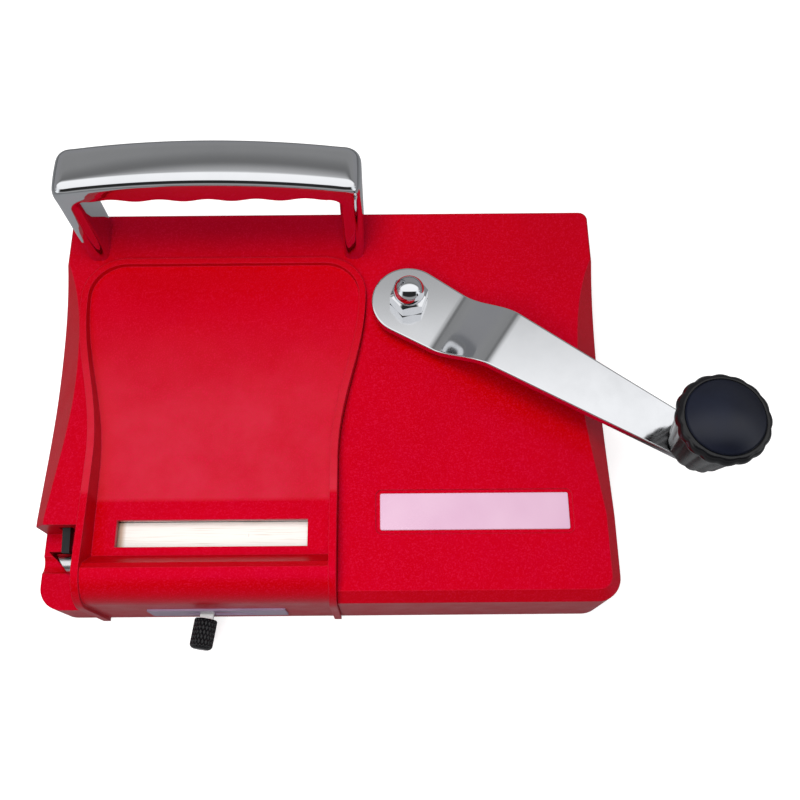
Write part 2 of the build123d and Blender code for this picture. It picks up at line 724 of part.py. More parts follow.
with BuildPart() as spoon:
    with Locations(Location((spoon_left, nozzle_y, nozzle_z), (0, 90, 0))):
        Cylinder(spoon_radius, carriage_right - spoon_left, align=(Align.CENTER, Align.CENTER, Align.MIN))
        Cylinder(spoon_radius - 0.6, carriage_left - spoon_left,
                 align=(Align.CENTER, Align.CENTER, Align.MIN), mode=Mode.SUBTRACT)
    with Locations((spoon_left, nozzle_y, nozzle_z + 0.8)):
        Box(100, 10, 10, align=(Align.MIN, Align.CENTER, Align.MIN), mode=Mode.SUBTRACT)
    with Locations((carriage_left, nozzle_y, carriage_top)):
        Box(carriage_right - carriage_left, 2.0, nozzle_z - carriage_top,
            align=(Align.MIN, Align.CENTER, Align.MIN))
finish(spoon, "spoon")

# ---------------------------------------------------------------- chamber block and nozzle
block_left = -95.5
block_right = 1.4
block_front_y = -79.0
block_back_y = -54.8
shelf_z = 33.5
groove_radius = 3.75
chamber_front_top = 36.0
nozzle_outer = 3.95
nozzle_inner = 3.65
nozzle_tip_x = -113.4
nozzle_inner_x = -90.0

with BuildPart() as chamber_block:
    with Locations((block_left, block_front_y, chassis_bottom)):
        Box(block_right - block_left, block_back_y - block_front_y, shelf_z - chassis_bottom,
            align=(Align.MIN, Align.MIN, Align.MIN))
        Box(block_right - block_left, nozzle_y - groove_radius - block_front_y,
            chamber_front_top - chassis_bottom, align=(Align.MIN, Align.MIN, Align.MIN))
    with Locations((block_left, block_back_y - 1, chassis_top),
                   (block_right - 6, block_back_y - 1, chassis_top)):
        Box(6.0, 7.4, 5.0, align=(Align.MIN, Align.MIN, Align.MIN))
    with Locations(Location((nozzle_inner_x, nozzle_y, nozzle_z), (0, 90, 0))):
        Cylinder(groove_radius, 110, align=(Align.CENTER, Align.CENTER, Align.MIN), mode=Mode.SUBTRACT)
    with Locations((nozzle_inner_x, nozzle_y, nozzle_z)):
        Box(110, 2 * groove_radius, 30, align=(Align.MIN, Align.CENTER, Align.MIN), mode=Mode.SUBTRACT)
        Box(110, 2.4, 12, align=(Align.MIN, Align.CENTER, Align.MAX), mode=Mode.SUBTRACT)
    with Locations(Location((block_left - 1, nozzle_y, nozzle_z), (0, 90, 0))):
        Cylinder(nozzle_outer + press, nozzle_inner_x - block_left + 1.01,
                 align=(Align.CENTER, Align.CENTER, Align.MIN), mode=Mode.SUBTRACT)
    with Locations((block_left + 3, block_back_y + 3.2, chassis_top),
                   (block_right - 3, block_back_y + 3.2, chassis_top)):
        Cylinder(1.3, 12, mode=Mode.SUBTRACT)
finish(chamber_block, "chamber_block")

with BuildPart() as nozzle:
    with Locations(Location((nozzle_tip_x, nozzle_y, nozzle_z), (0, 90, 0))):
        Cylinder(nozzle_outer, nozzle_inner_x - nozzle_tip_x,
                 align=(Align.CENTER, Align.CENTER, Align.MIN))
        Cylinder(nozzle_inner, 60, mode=Mode.SUBTRACT)
    with BuildSketch(Plane.XY.offset(nozzle_z - 6)):
        with BuildLine():
            Polyline(
                (nozzle_tip_x - 2, nozzle_y + 5),
                (nozzle_tip_x - 0.4, nozzle_y + 5),
                (nozzle_tip_x + 6.2, nozzle_y - 5),
                (nozzle_tip_x - 2, nozzle_y - 5),
                close=True,
            )
        make_face()
    extrude(amount=12, mode=Mode.SUBTRACT)
finish(nozzle, "nozzle")

# ---------------------------------------------------------------- compactor, cam and follower
link_bottom = 31.6
link_top = 33.6
blade_left = -86.2
blade_right = -7.8
blade_front_y = -54.6
blade_back_y = -36.0
blade_top = 36.0
link_pin_points = [(-70.0, -29.0), (-24.0, -29.0)]
link_travel = cam_rise_per_radian * radians(crank_swing)
follower_radius = 2.5
follower_y = crank_y - cam_start_radius
blade_screw_points = [(-78.0, -38.8), (-18.0, -38.8)]
cam_bottom = 26.3
cam_top = 30.9
cam_groove_bottom = 27.4
cam_disc_radius = 31.5
link_plate_centre = (-48.0, -26.75)
link_plate_size = (68.0, 29.5)

with BuildPart() as compactor_link:
    with BuildSketch(Plane.XY.offset(link_bottom)):
        with Locations(link_plate_centre):
            RectangleRounded(*link_plate_size, 2.0)
        with BuildLine():
            Polyline(
                (-34.0, -13.0),
                (-14.5, -27.0),
                (41.5, 17.0),
                (41.5, 29.5),
                (29.8, 29.5),
                (29.8, 23.5),
                close=True,
            )
        make_face()
        with Locations((crank_x, follower_y)):
            Circle(follower_radius + press, mode=Mode.SUBTRACT)
        with Locations(*[(x, y + link_travel / 2) for x, y in link_pin_points]):
            SlotOverall(link_travel + 5.6, 5.2, rotation=90, mode=Mode.SUBTRACT)
        with Locations(*blade_screw_points):
            Circle(1.3, mode=Mode.SUBTRACT)
    extrude(amount=link_top - link_bottom)
finish(compactor_link, "compactor_link")

with BuildPart() as compactor_blade:
    with Locations((blade_left, blade_front_y, link_top)):
        Box(blade_right - blade_left, blade_back_y - blade_front_y, blade_top - link_top,
            align=(Align.MIN, Align.MIN, Align.MIN))
    with Locations(*[(x, y, blade_top) for x, y in blade_screw_points]):
        Cylinder(1.3, 10, mode=Mode.SUBTRACT)
        Cone(1.3, 2.4, 1.1, align=(Align.CENTER, Align.CENTER, Align.MAX), mode=Mode.SUBTRACT)
finish(compactor_blade, "compactor_blade")

with BuildPart() as blade_screws:
    with Locations(*[(x, y, link_bottom) for x, y in blade_screw_points]):
        Cylinder(1.25, 4.0, align=(Align.CENTER, Align.CENTER, Align.MIN))
    with Locations(*[(x, y, blade_top) for x, y in blade_screw_points]):
        Cone(1.25, 2.3, 1.05, align=(Align.CENTER, Align.CENTER, Align.MAX))
finish(blade_screws, "blade_screws")

with BuildPart() as link_guide_pins:
    with Locations(*[(x, y, chassis_top) for x, y in link_pin_points]):
        Cylinder(4.2, link_bottom - 0.1 - chassis_top, align=(Align.CENTER, Align.CENTER, Align.MIN))
        Cylinder(2.5, link_top + 0.2 - chassis_top, align=(Align.CENTER, Align.CENTER, Align.MIN))
    with Locations(*[(x, y, link_top + 0.15) for x, y in link_pin_points]):
        Cylinder(4.2, 1.5, align=(Align.CENTER, Align.CENTER, Align.MIN))
finish(link_guide_pins, "link_guide_pins")

with BuildPart() as follower_pin:
    with Locations((crank_x, follower_y, cam_groove_bottom + 0.2)):
        Cylinder(follower_radius, link_top - cam_groove_bottom - 0.2,
                 align=(Align.CENTER, Align.CENTER, Align.MIN))
finish(follower_pin, "follower_pin")

spiral_start = -radians(4)
spiral_end = radians(crank_swing + 4)
spiral_steps = 24
spiral_width = 2 * follower_radius + 0.16


def spiral_point(turn, side_step):
    """A point of the cam spiral, stepped sideways at a right angle to its path."""
    radius = cam_start_radius + cam_rise_per_radian * turn
    angle = -pi / 2 + turn
    length = sqrt(radius**2 + cam_rise_per_radian**2)
    out = radius / length * side_step
    along = -cam_rise_per_radian / length * side_step
    x = (radius + out) * cos(angle) - along * sin(angle)
    y = (radius + out) * sin(angle) + along * cos(angle)
    return (crank_x + x, crank_y + y)


spiral_turns = [
    spiral_start + (spiral_end - spiral_start) * i / spiral_steps for i in range(spiral_steps + 1)
]

with BuildPart() as cam_disc:
    with Locations((crank_x, crank_y, cam_bottom)):
        Cylinder(cam_disc_radius, cam_top - cam_bottom, align=(Align.CENTER, Align.CENTER, Align.MIN))
    with BuildSketch(Plane.XY.offset(cam_groove_bottom)):
        with BuildLine():
            outer_edge = Spline(*[spiral_point(turn, spiral_width / 2) for turn in spiral_turns])
            inner_edge = Spline(*[spiral_point(turn, -spiral_width / 2) for turn in spiral_turns])
            Line(outer_edge @ 0, inner_edge @ 0)
            Line(outer_edge @ 1, inner_edge @ 1)
        make_face()
        with Locations(spiral_point(spiral_start, 0), spiral_point(spiral_end, 0)):
            Circle(spiral_width / 2)
    extrude(amount=10, mode=Mode.SUBTRACT)
    with Locations((crank_x, crank_y, cam_bottom)):
        Cylinder(shaft_radius + press, 20, mode=Mode.SUBTRACT)
finish(cam_disc, "cam_disc")

# ---------------------------------------------------------------- crank arm
arm_plane = Plane(
    origin=(crank_x, crank_y, 0),
    x_dir=(cos(crank_angle), sin(crank_angle), 0),
    z_dir=(sin(crank_angle), -cos(crank_angle), 0),
)
hub_radius = 16.2
tip_radius = 8.4
rise_start = 19.0
rise_end = 46.5
rise_slack = 8.0
tangent_lean = (hub_radius - tip_radius) / crank_radius

with BuildPart() as crank_arm:
    with BuildSketch(arm_plane) as arm_profile:
        with BuildLine():
            for drop in (0, arm_thickness):
                Line((-hub_radius - 2, arm_low - drop), (rise_start, arm_low - drop))
                Spline(
                    (rise_start, arm_low - drop),
                    (rise_end, arm_high - drop),
                    tangents=((1, 0), (1, 0)),
                    tangent_scalars=(1.25, 1.25),
                )
                Line((rise_end, arm_high - drop), (crank_radius + tip_radius + 2, arm_high - drop))
            Line((-hub_radius - 2, arm_low), (-hub_radius - 2, arm_low - arm_thickness))
            Line(
                (crank_radius + tip_radius + 2, arm_high),
                (crank_radius + tip_radius + 2, arm_high - arm_thickness),
            )
        make_face()
    extrude(amount=hub_radius + 4, both=True)
    arm_plan_plane = Plane(
        origin=(crank_x, crank_y, 0), x_dir=(cos(crank_angle), sin(crank_angle), 0), z_dir=(0, 0, 1)
    )
    with BuildSketch(arm_plan_plane):
        Circle(hub_radius)
        with Locations((crank_radius, 0)):
            Circle(tip_radius)
        with BuildLine():
            side = sqrt(1 - tangent_lean**2)
            Polyline(
                (hub_radius * tangent_lean, hub_radius * side),
                (crank_radius + tip_radius * tangent_lean, tip_radius * side),
                (crank_radius + tip_radius * tangent_lean, -tip_radius * side),
                (hub_radius * tangent_lean, -hub_radius * side),
                close=True,
            )
        make_face()
    extrude(amount=100, mode=Mode.INTERSECT)
    with BuildSketch(Plane.XY.offset(arm_low - arm_thickness)):
        with Locations(Location((crank_x, crank_y, 0), (0, 0, crank_rest_angle))):
            Rectangle(square_side + 0.06, square_side + 0.06)
            Circle(thread_radius + press)
    extrude(amount=arm_thickness, mode=Mode.SUBTRACT)
    with Locations((knob_x, knob_y, arm_high)):
        Cylinder(thread_radius + press, 20, mode=Mode.SUBTRACT)
finish(crank_arm, "crank_arm")

nut_flats = 14.6
nut_turn = 10.0
nut_hex_height = 7.6
nut_total_height = 15.4
nut_dome_radius = 6.7
nut_corner = nut_flats / sqrt(3)
nut_shoulder = arm_low + nut_total_height - nut_dome_radius

with BuildPart() as domed_nut:
    with BuildSketch(Plane.XY.offset(arm_low)):
        with Locations((crank_x, crank_y)):
            RegularPolygon(nut_flats / 2, 6, major_radius=False, rotation=nut_turn)
    extrude(amount=nut_total_height)
    with BuildSketch(Plane.XZ.offset(-crank_y)):
        with BuildLine():
            Polyline(
                (crank_x, arm_low + nut_total_height),
                (crank_x, arm_low),
                (crank_x + nut_flats / 2 - 0.1, arm_low),
                (crank_x + nut_corner, arm_low + 0.9),
                (crank_x + nut_corner, arm_low + nut_hex_height - 0.9),
                (crank_x + nut_dome_radius, arm_low + nut_hex_height + 0.2),
                (crank_x + nut_dome_radius, nut_shoulder),
            )
            RadiusArc(
                (crank_x + nut_dome_radius, nut_shoulder),
                (crank_x, arm_low + nut_total_height),
                -nut_dome_radius,
            )
        make_face()
    revolve(axis=Axis((crank_x, crank_y, 0), (0, 0, 1)), mode=Mode.INTERSECT)
    with Locations((crank_x, crank_y, arm_low)):
        Cylinder(thread_radius + press, 13.0, align=(Align.CENTER, Align.CENTER, Align.MIN),
                 mode=Mode.SUBTRACT)
finish(domed_nut, "domed_nut")

# ---------------------------------------------------------------- crank knob
knob_bottom = 66.5
knob_rim_bottom = 91.6
knob_rim_wide = 94.0
knob_top = 97.6
knob_base_radius = 12.4
knob_neck_radius = 16.0
knob_rim_radius = 17.8
knob_cap_radius = 14.7
knob_lobes = 16
knob_flute_radius = 1.8
knob_flute_depth = 0.5
knob_scallop_radius = 2.7
knob_scallop_depth = 0.5
knob_bore = thread_radius + 0.06
knob_pocket_floor = 85.8
knob_pocket_radius = 8.5
cap_crown = ((knob_cap_radius - 0.5) ** 2 + 1.3**2) / (2 * 1.3)

with BuildPart() as crank_knob:
    with BuildSketch(Plane.XZ.offset(-knob_y)):
        with BuildLine():
            Polyline(
                (knob_x, knob_top),
                (knob_x, knob_bottom),
                (knob_x + knob_base_radius - 1, knob_bottom),
                (knob_x + knob_base_radius, knob_bottom + 1),
                (knob_x + knob_neck_radius, knob_rim_bottom),
            )
            ThreePointArc(
                (knob_x + knob_neck_radius, knob_rim_bottom),
                (knob_x + knob_rim_radius, knob_rim_wide),
                (knob_x + knob_cap_radius + 0.6, knob_top),
            )
            Line((knob_x + knob_cap_radius + 0.6, knob_top), (knob_x, knob_top))
        make_face()
    revolve(axis=Axis((knob_x, knob_y, 0), (0, 0, 1)))
    # Finger flutes down the tapered body and a scalloped rim.
    lean = degrees(atan((knob_neck_radius - knob_base_radius) / (knob_rim_bottom - knob_bottom)))
    with Locations((knob_x, knob_y, knob_bottom - 1)):
        with PolarLocations(knob_base_radius + knob_flute_radius - knob_flute_depth, knob_lobes):
            with Locations(Location((0, 0, 0), (0, lean, 0))):
                Cylinder(knob_flute_radius, knob_rim_bottom - knob_bottom + 1,
                         align=(Align.CENTER, Align.CENTER, Align.MIN), mode=Mode.SUBTRACT)
    with Locations((knob_x, knob_y, knob_rim_bottom - 0.5)):
        with PolarLocations(knob_rim_radius + knob_scallop_radius - knob_scallop_depth, knob_lobes):
            Cylinder(knob_scallop_radius, knob_top, align=(Align.CENTER, Align.CENTER, Align.MIN),
                     mode=Mode.SUBTRACT)
    with Locations((knob_x, knob_y, knob_bottom)):
        Cylinder(knob_bore, 60, mode=Mode.SUBTRACT)
    with Locations((knob_x, knob_y, knob_pocket_floor)):
        Cylinder(knob_pocket_radius, 20, align=(Align.CENTER, Align.CENTER, Align.MIN),
                 mode=Mode.SUBTRACT)
    with Locations((knob_x, knob_y, knob_top - 0.8)):
        Cylinder(knob_cap_radius + 0.05, 5, align=(Align.CENTER, Align.CENTER, Align.MIN),
                 mode=Mode.SUBTRACT)
finish(crank_knob, "crank_knob")

with BuildPart() as knob_cap:
    with BuildSketch(Plane.XZ.offset(-knob_y)):
        with BuildLine():
            Polyline(
                (knob_x, knob_top + 1.6),
                (knob_x, knob_top - 0.7),
                (knob_x + knob_cap_radius, knob_top - 0.7),
                (knob_x + knob_cap_radius, knob_top - 0.1),
                (knob_x + knob_cap_radius - 0.5, knob_top + 0.3),
            )
            RadiusArc(
                (knob_x + knob_cap_radius - 0.5, knob_top + 0.3), (knob_x, knob_top + 1.6), -cap_crown
            )
        make_face()
    revolve(axis=Axis((knob_x, knob_y, 0), (0, 0, 1)))
    with Locations((knob_x, knob_y, knob_top - 3.7)):
        Cylinder(knob_pocket_radius - 0.05, 3.2, align=(Align.CENTER, Align.CENTER, Align.MIN))
        Cylinder(knob_pocket_radius - 1.5, 3.0, align=(Align.CENTER, Align.CENTER, Align.MIN),
                 mode=Mode.SUBTRACT)
finish(knob_cap, "knob_cap")

with BuildPart() as knob_spindle:
    with Locations((knob_x, knob_y, arm_high - arm_thickness - 1.5)):
        Cylinder(thread_radius, 28.5, align=(Align.CENTER, Align.CENTER, Align.MIN))
        Cylinder(6.0, 1.5, align=(Align.CENTER, Align.CENTER, Align.MIN))
    with Locations((knob_x, knob_y, arm_high)):
        Cylinder(7.5, 1.0, align=(Align.CENTER, Align.CENTER, Align.MIN))
    chamfer(knob_spindle.edges().filter_by(GeomType.CIRCLE).group_by(Axis.Z)[0], 0.6)
finish(knob_spindle, "knob_spindle")

with BuildPart() as knob_retaining_ring:
    with BuildSketch(Plane.XY.offset(knob_pocket_floor + 0.2)):
        with Locations((knob_x, knob_y)):
            Circle(7.0)
            Circle(thread_radius + press, mode=Mode.SUBTRACT)
            with Locations((8, 0)):
                Rectangle(10, 4, mode=Mode.SUBTRACT)
    extrude(amount=1.2)
finish(knob_retaining_ring, "knob_retaining_ring")

# ---------------------------------------------------------------- density lever
lever_half_thickness = 0.9
lever_width = 5.6
grip_radius = 4.8
grip_start = 39.0
grip_length = 12.6
grip_ribs = 22
lever_heading = -90 - lever_rest_angle
lever_plane = Plane(
    origin=(lever_x, lever_y, lever_z),
    x_dir=(cos(radians(lever_heading)), sin(radians(lever_heading)), 0),
    z_dir=(0, 0, 1),
)
lever_post_radius = 2.0
lever_eye_radius = 5.0
tang_half = 2.6

with BuildPart() as density_lever:
    with BuildSketch(lever_plane.offset(-lever_half_thickness)):
        Circle(lever_eye_radius)
        with Locations((grip_start / 2, 0)):
            Rectangle(grip_start, lever_width)
        with Locations((grip_start + 4, 0)):
            Rectangle(10.0, 2 * tang_half)
        Circle(lever_post_radius + running, mode=Mode.SUBTRACT)
    extrude(amount=2 * lever_half_thickness)
finish(density_lever, "density_lever")

with BuildPart() as lever_grip:
    with BuildSketch(Plane(origin=lever_plane.origin + lever_plane.x_dir * grip_start,
                           x_dir=(0, 0, 1), z_dir=lever_plane.x_dir)):
        Circle(grip_radius)
        with PolarLocations(grip_radius, grip_ribs):
            Rectangle(0.7, 0.55, rotation=45, mode=Mode.SUBTRACT)
    extrude(amount=grip_length)
    with BuildSketch(Plane(origin=lever_plane.origin + lever_plane.x_dir * (grip_start - 1),
                           x_dir=(0, 0, 1), z_dir=lever_plane.x_dir)):
        Rectangle(2 * lever_half_thickness + 0.04, 2 * tang_half + 0.04)
    extrude(amount=10.1, mode=Mode.SUBTRACT)
finish(lever_grip, "lever_grip")

with BuildPart() as lever_post:
    with Locations((lever_x, lever_y, floor_top)):
        Cylinder(4.5, lever_z - lever_half_thickness - 0.1 - floor_top,
                 align=(Align.CENTER, Align.CENTER, Align.MIN))
        Cylinder(lever_post_radius, gear_top - 0.6 - floor_top,
                 align=(Align.CENTER, Align.CENTER, Align.MIN))
finish(lever_post, "lever_post")

with BuildPart() as lever_clip:
    with BuildSketch(Plane.XY.offset(lever_z + lever_half_thickness + 0.1)):
        with Locations((lever_x, lever_y)):
            Circle(3.6)
            Circle(lever_post_radius + press, mode=Mode.SUBTRACT)
            with Locations((4, 0)):
                Rectangle(6, 2, mode=Mode.SUBTRACT)
    extrude(amount=0.7)
finish(lever_clip, "lever_clip")

# ---------------------------------------------------------------- tube clamp
clamp_width = 3.2
clamp_tip_y = -67.4
clamp_bottom = 31.9
clamp_back_y = -43.5

with BuildPart() as tube_clamp:
    with BuildSketch(Plane.YZ.offset(clamp_x - clamp_width / 2)):
        with BuildLine():
            Polyline(
                (clamp_tip_y, clamp_bottom),
                (notch_back_y + 2, clamp_bottom - 0.4),
                (clamp_back_y, clamp_pivot_z - 3.0),
                (clamp_back_y, clamp_pivot_z + 3.0),
                (notch_back_y, clamp_pivot_z + 2.2),
                (clamp_tip_y, clamp_pivot_z + 0.6),
                close=True,
            )
        make_face()
        with Locations((clamp_pivot_y, clamp_pivot_z)):
            Circle(clamp_pin_radius + running, mode=Mode.SUBTRACT)
    extrude(amount=clamp_width)
finish(tube_clamp, "tube_clamp")

with BuildPart() as clamp_pin:
    with Locations(Location((clamp_x, clamp_pivot_y, clamp_pivot_z), (0, 90, 0))):
        Cylinder(clamp_pin_radius, 12.6)
finish(clamp_pin, "clamp_pin")

spring_radius = 2.3
spring_wire = 0.35
spring_turns = 2.5
spring_pitch = 0.85

with BuildPart() as clamp_spring:
    with BuildLine() as spring_path:
        Helix(
            pitch=spring_pitch,
            height=spring_pitch * spring_turns,
            radius=spring_radius,
            center=(clamp_x + clamp_width / 2 + 0.35, clamp_pivot_y, clamp_pivot_z),
            direction=(1, 0, 0),
        )
    with BuildSketch(Plane(origin=spring_path.line @ 0, z_dir=spring_path.line % 0)):
        Circle(spring_wire)
    sweep()
finish(clamp_spring, "clamp_spring")
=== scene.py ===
from math import atan2, cos, pi, radians, sin, sqrt

import bmesh
import bpy
from mathutils import Matrix, Vector


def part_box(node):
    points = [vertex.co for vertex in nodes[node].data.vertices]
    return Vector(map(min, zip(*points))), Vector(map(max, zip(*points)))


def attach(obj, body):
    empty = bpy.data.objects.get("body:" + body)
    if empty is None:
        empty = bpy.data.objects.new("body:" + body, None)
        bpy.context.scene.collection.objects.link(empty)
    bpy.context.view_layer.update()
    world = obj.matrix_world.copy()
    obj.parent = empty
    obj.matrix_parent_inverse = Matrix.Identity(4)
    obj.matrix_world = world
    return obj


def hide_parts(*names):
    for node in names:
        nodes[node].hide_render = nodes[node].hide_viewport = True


# Looks for a crank-operated tabletop tube-filling machine. Metres, in the CAD model's frame.

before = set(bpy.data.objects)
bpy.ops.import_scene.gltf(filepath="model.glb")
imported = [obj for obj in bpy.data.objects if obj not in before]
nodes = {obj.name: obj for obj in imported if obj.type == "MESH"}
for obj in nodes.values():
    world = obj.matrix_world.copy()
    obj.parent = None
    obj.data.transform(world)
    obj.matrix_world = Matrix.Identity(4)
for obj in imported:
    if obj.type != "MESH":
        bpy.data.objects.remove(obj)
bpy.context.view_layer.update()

MM = 0.001


# ---------------------------------------------------------------- material helpers
WEAR_AND_HIGHLIGHT_WIDTH = 0.5 * MM
RED_EDGE_RADIUS = 0.7 * MM
# Painted sheen on the tray: none at the first depth, full at the second, cut off in front of the crease.
TRAY_SHEEN_START_Y = 45.0 * MM
TRAY_SHEEN_FULL_Y = -20.0 * MM
TRAY_CREASE_Y = -47.5 * MM
SLOT_STAIN_X = -83.8 * MM
CAP_CROWN = 4.0 * MM


class Finish:
    """A principled material, with short calls for the nodes that feed it."""

    def __init__(self, name, colour, roughness, metallic=0.0, **extra):
        self.material = bpy.data.materials.new(name)
        self.material.use_nodes = True
        self.tree = self.material.node_tree
        self.shader = self.tree.nodes["Principled BSDF"]
        self.place = self.add("ShaderNodeTexCoord").outputs["Object"]
        self.feed("Base Color", (*colour, 1.0))
        self.feed("Roughness", roughness)
        self.feed("Metallic", metallic)
        for label, value in extra.items():
            self.feed(label.replace("_", " "), value)

    def feed(self, label, value):
        """Set an input of the shader, or link a socket to it."""
        self._set(self.shader.inputs[label], value)

    def _set(self, socket, value):
        if isinstance(value, bpy.types.NodeSocket):
            self.tree.links.new(value, socket)
        else:
            socket.default_value = value

    def add(self, kind, inputs=None, **settings):
        """Add a node, with its settings and its inputs by name or number."""
        made = self.tree.nodes.new(kind)
        for key, value in settings.items():
            setattr(made, key, value)
        for key, value in (inputs or {}).items():
            self._set(made.inputs[key], value)
        return made

    def stretched(self, scale, turn=(0, 0, 0)):
        """Object coordinates turned and scaled by axis."""
        mapping = self.add("ShaderNodeMapping", {"Vector": self.place, "Scale": scale, "Rotation": turn})
        return mapping.outputs["Vector"]

    def noise(self, scale, detail=3.0, roughness=0.5, vector=None):
        """Noise value, at scale features per metre."""
        inputs = {
            "Vector": vector or self.place, "Scale": scale, "Detail": detail, "Roughness": roughness,
        }
        return self.add("ShaderNodeTexNoise", inputs).outputs["Fac"]

    def remap(self, value, low, high, out_low, out_high, smooth=False):
        """Carry a value from one range to another, clamped."""
        kind = "SMOOTHSTEP" if smooth else "LINEAR"
        inputs = {"Value": value, "From Min": low, "From Max": high, "To Min": out_low, "To Max": out_high}
        return self.add("ShaderNodeMapRange", inputs, interpolation_type=kind).outputs["Result"]

    def math(self, operation, first, second=0.0):
        """One math node."""
        return self.add("ShaderNodeMath", {0: first, 1: second}, operation=operation).outputs[0]

    def mix(self, factor, first, second):
        """Mix two colours."""
        made = self.add("ShaderNodeMix", data_type="RGBA")
        self._set(made.inputs["Factor"], factor)
        for socket, value in ((made.inputs[6], first), (made.inputs[7], second)):
            self._set(socket, value if isinstance(value, bpy.types.NodeSocket) else (*value, 1.0))
        return made.outputs[2]

    def mottle(self, value, first, second, low=0.3, high=0.7, amount=1.0):
        """Feed a base colour that wanders between two tones as a noise value goes from low to high."""
        self.feed("Base Color", self.mix(self.remap(value, low, high, 0.0, amount), first, second))

    def axis(self, letter):
        """One coordinate of the place on the object."""
        return self.add("ShaderNodeSeparateXYZ", {"Vector": self.place}).outputs[letter]

    def bump(self, height, distance, strength=1.0, onto=None):
        """Bump from a height value; distance in metres. Returns the normal, and feeds it to the shader."""
        inputs = {"Height": height, "Distance": distance, "Strength": strength}
        if onto is not None:
            inputs["Normal"] = onto
        normal = self.add("ShaderNodeBump", inputs).outputs["Normal"]
        self.feed("Normal", normal)
        return normal

    def round_edges(self, radius):
        """Normals that round sharp edges off, to start a chain of bumps."""
        made = self.add("ShaderNodeBevel", {"Radius": radius}, samples=4)
        return made.outputs["Normal"]

    def wear_and_highlight_edges(self, amount):
        """A mask that is bright along sharp edges, where the rounded normal leaves the face's own; it
        carries edge wear on the black parts and a painted highlight on the red shell.
        """
        own = self.add("ShaderNodeNewGeometry").outputs["Normal"]
        rounded = self.round_edges(WEAR_AND_HIGHLIGHT_WIDTH)
        match = self.add("ShaderNodeVectorMath", {0: rounded, 1: own}, operation="DOT_PRODUCT")
        return self.remap(match.outputs["Value"], 0.99, 0.85, 0.0, amount)


# ---------------------------------------------------------------- materials
def red_shell(name, painted_sheen=False):
    """Moulded ABS with a fine spark-eroded grain and a painted highlight along its sharp edges;
    painted_sheen adds a pale pink painted sheen to the tray, growing towards the front and stopped at the
    crease.
    """
    pink_sheen = (1.0, 0.02, 0.6, 1.0)
    finish = Finish(name, (0.44, 0.0, 0.0), 0.38, Specular_IOR_Level=0.45, Specular_Tint=pink_sheen)
    grain = finish.noise(1700, detail=1.0, roughness=0.6)
    ripple = finish.noise(90, detail=3.0)
    patch = finish.noise(14, detail=4.0, roughness=0.6)
    tone = finish.mix(finish.remap(patch, 0.3, 0.7, 0.0, 1.0), (0.42, 0.0, 0.0), (0.465, 0.0, 0.001))
    # Painted sheen: a pale pink wash of up to 12% over the tray, growing towards the front and cut off at
    # the crease, so the feed zone in front of the crease stays darker.
    if painted_sheen:
        depth = finish.axis("Y")
        reach = finish.remap(depth, TRAY_SHEEN_START_Y, TRAY_SHEEN_FULL_Y, 0.0, 1.0, smooth=True)
        crease = finish.remap(depth, TRAY_CREASE_Y, TRAY_CREASE_Y + 2.0 * MM, 0.0, 1.0)
        cloud = finish.remap(finish.noise(28, detail=6.0, roughness=0.7), 0.3, 0.7, 0.35, 1.0)
        haze_and_sheen = finish.math("MULTIPLY", finish.math("MULTIPLY", reach, crease), cloud)
        tone = finish.mix(finish.math("MULTIPLY", haze_and_sheen, 0.12), tone, (0.85, 0.19, 0.28))
    speck = finish.mix(finish.remap(grain, 0.5, 0.7, 0.0, 0.5), tone, (0.58, 0.008, 0.035))
    # Painted highlight: a brighter pink-red line along the sharp edges, where the rims catch the light.
    finish.feed("Base Color", finish.mix(finish.wear_and_highlight_edges(0.5), speck, (0.7, 0.03, 0.07)))
    finish.feed("Roughness", finish.remap(ripple, 0.3, 0.7, 0.33, 0.42))
    soft = finish.bump(ripple, 0.00004, 0.5, onto=finish.round_edges(RED_EDGE_RADIUS))
    finish.bump(grain, 0.00005, 0.65, onto=soft)
    return finish.material


def chrome(name, roughness=0.04):
    """Bright chrome plate: faint casting ripple, hairline scratches and finger haze."""
    finish = Finish(name, (0.62, 0.63, 0.65), roughness, metallic=1.0)
    ripple = finish.noise(60, detail=2.0)
    haze_and_sheen = finish.noise(35, detail=5.0, roughness=0.65)
    hair = finish.noise(900, detail=1.0, vector=finish.stretched((1.0, 0.04, 1.0), (0, 0, 0.4)))
    finish.feed("Roughness", finish.remap(haze_and_sheen, 0.45, 0.8, roughness * 0.8, roughness * 1.8))
    finish.mottle(haze_and_sheen, (0.63, 0.64, 0.66), (0.56, 0.57, 0.59), 0.4, 0.75, 0.5)
    soft = finish.bump(ripple, 0.00002, 0.25)
    finish.bump(hair, 0.000002, 0.2, onto=soft)
    return finish.material


def metal(name, colour, roughness, brush=None):
    """Machined metal; brush gives the stretch of its brushing lines by axis."""
    finish = Finish(name, colour, roughness, metallic=1.0)
    lines = finish.noise(1500, detail=3.0, vector=finish.stretched(brush) if brush else None)
    patch = finish.noise(30, detail=4.0)
    dark = tuple(0.72 * value for value in colour)
    finish.mottle(patch, colour, dark, 0.3, 0.75, 0.25)
    finish.feed("Roughness", finish.remap(lines, 0.3, 0.7, roughness * 0.75, roughness * 1.3))
    finish.bump(lines, 0.00002, 0.25)
    return finish.material


def black_gloss(name):
    """Glossy moulded black plastic, with scuffs."""
    finish = Finish(name, (0.005, 0.005, 0.006), 0.2, Specular_IOR_Level=0.32)
    scuff = finish.noise(120, detail=6.0, roughness=0.7)
    finish.feed("Roughness", finish.remap(scuff, 0.35, 0.75, 0.14, 0.34))
    scuffed = finish.mix(finish.wear_and_highlight_edges(0.4), (0.005, 0.005, 0.006), (0.016, 0.016, 0.018))
    finish.feed("Base Color", scuffed)
    finish.bump(scuff, 0.00001, 0.2)
    return finish.material


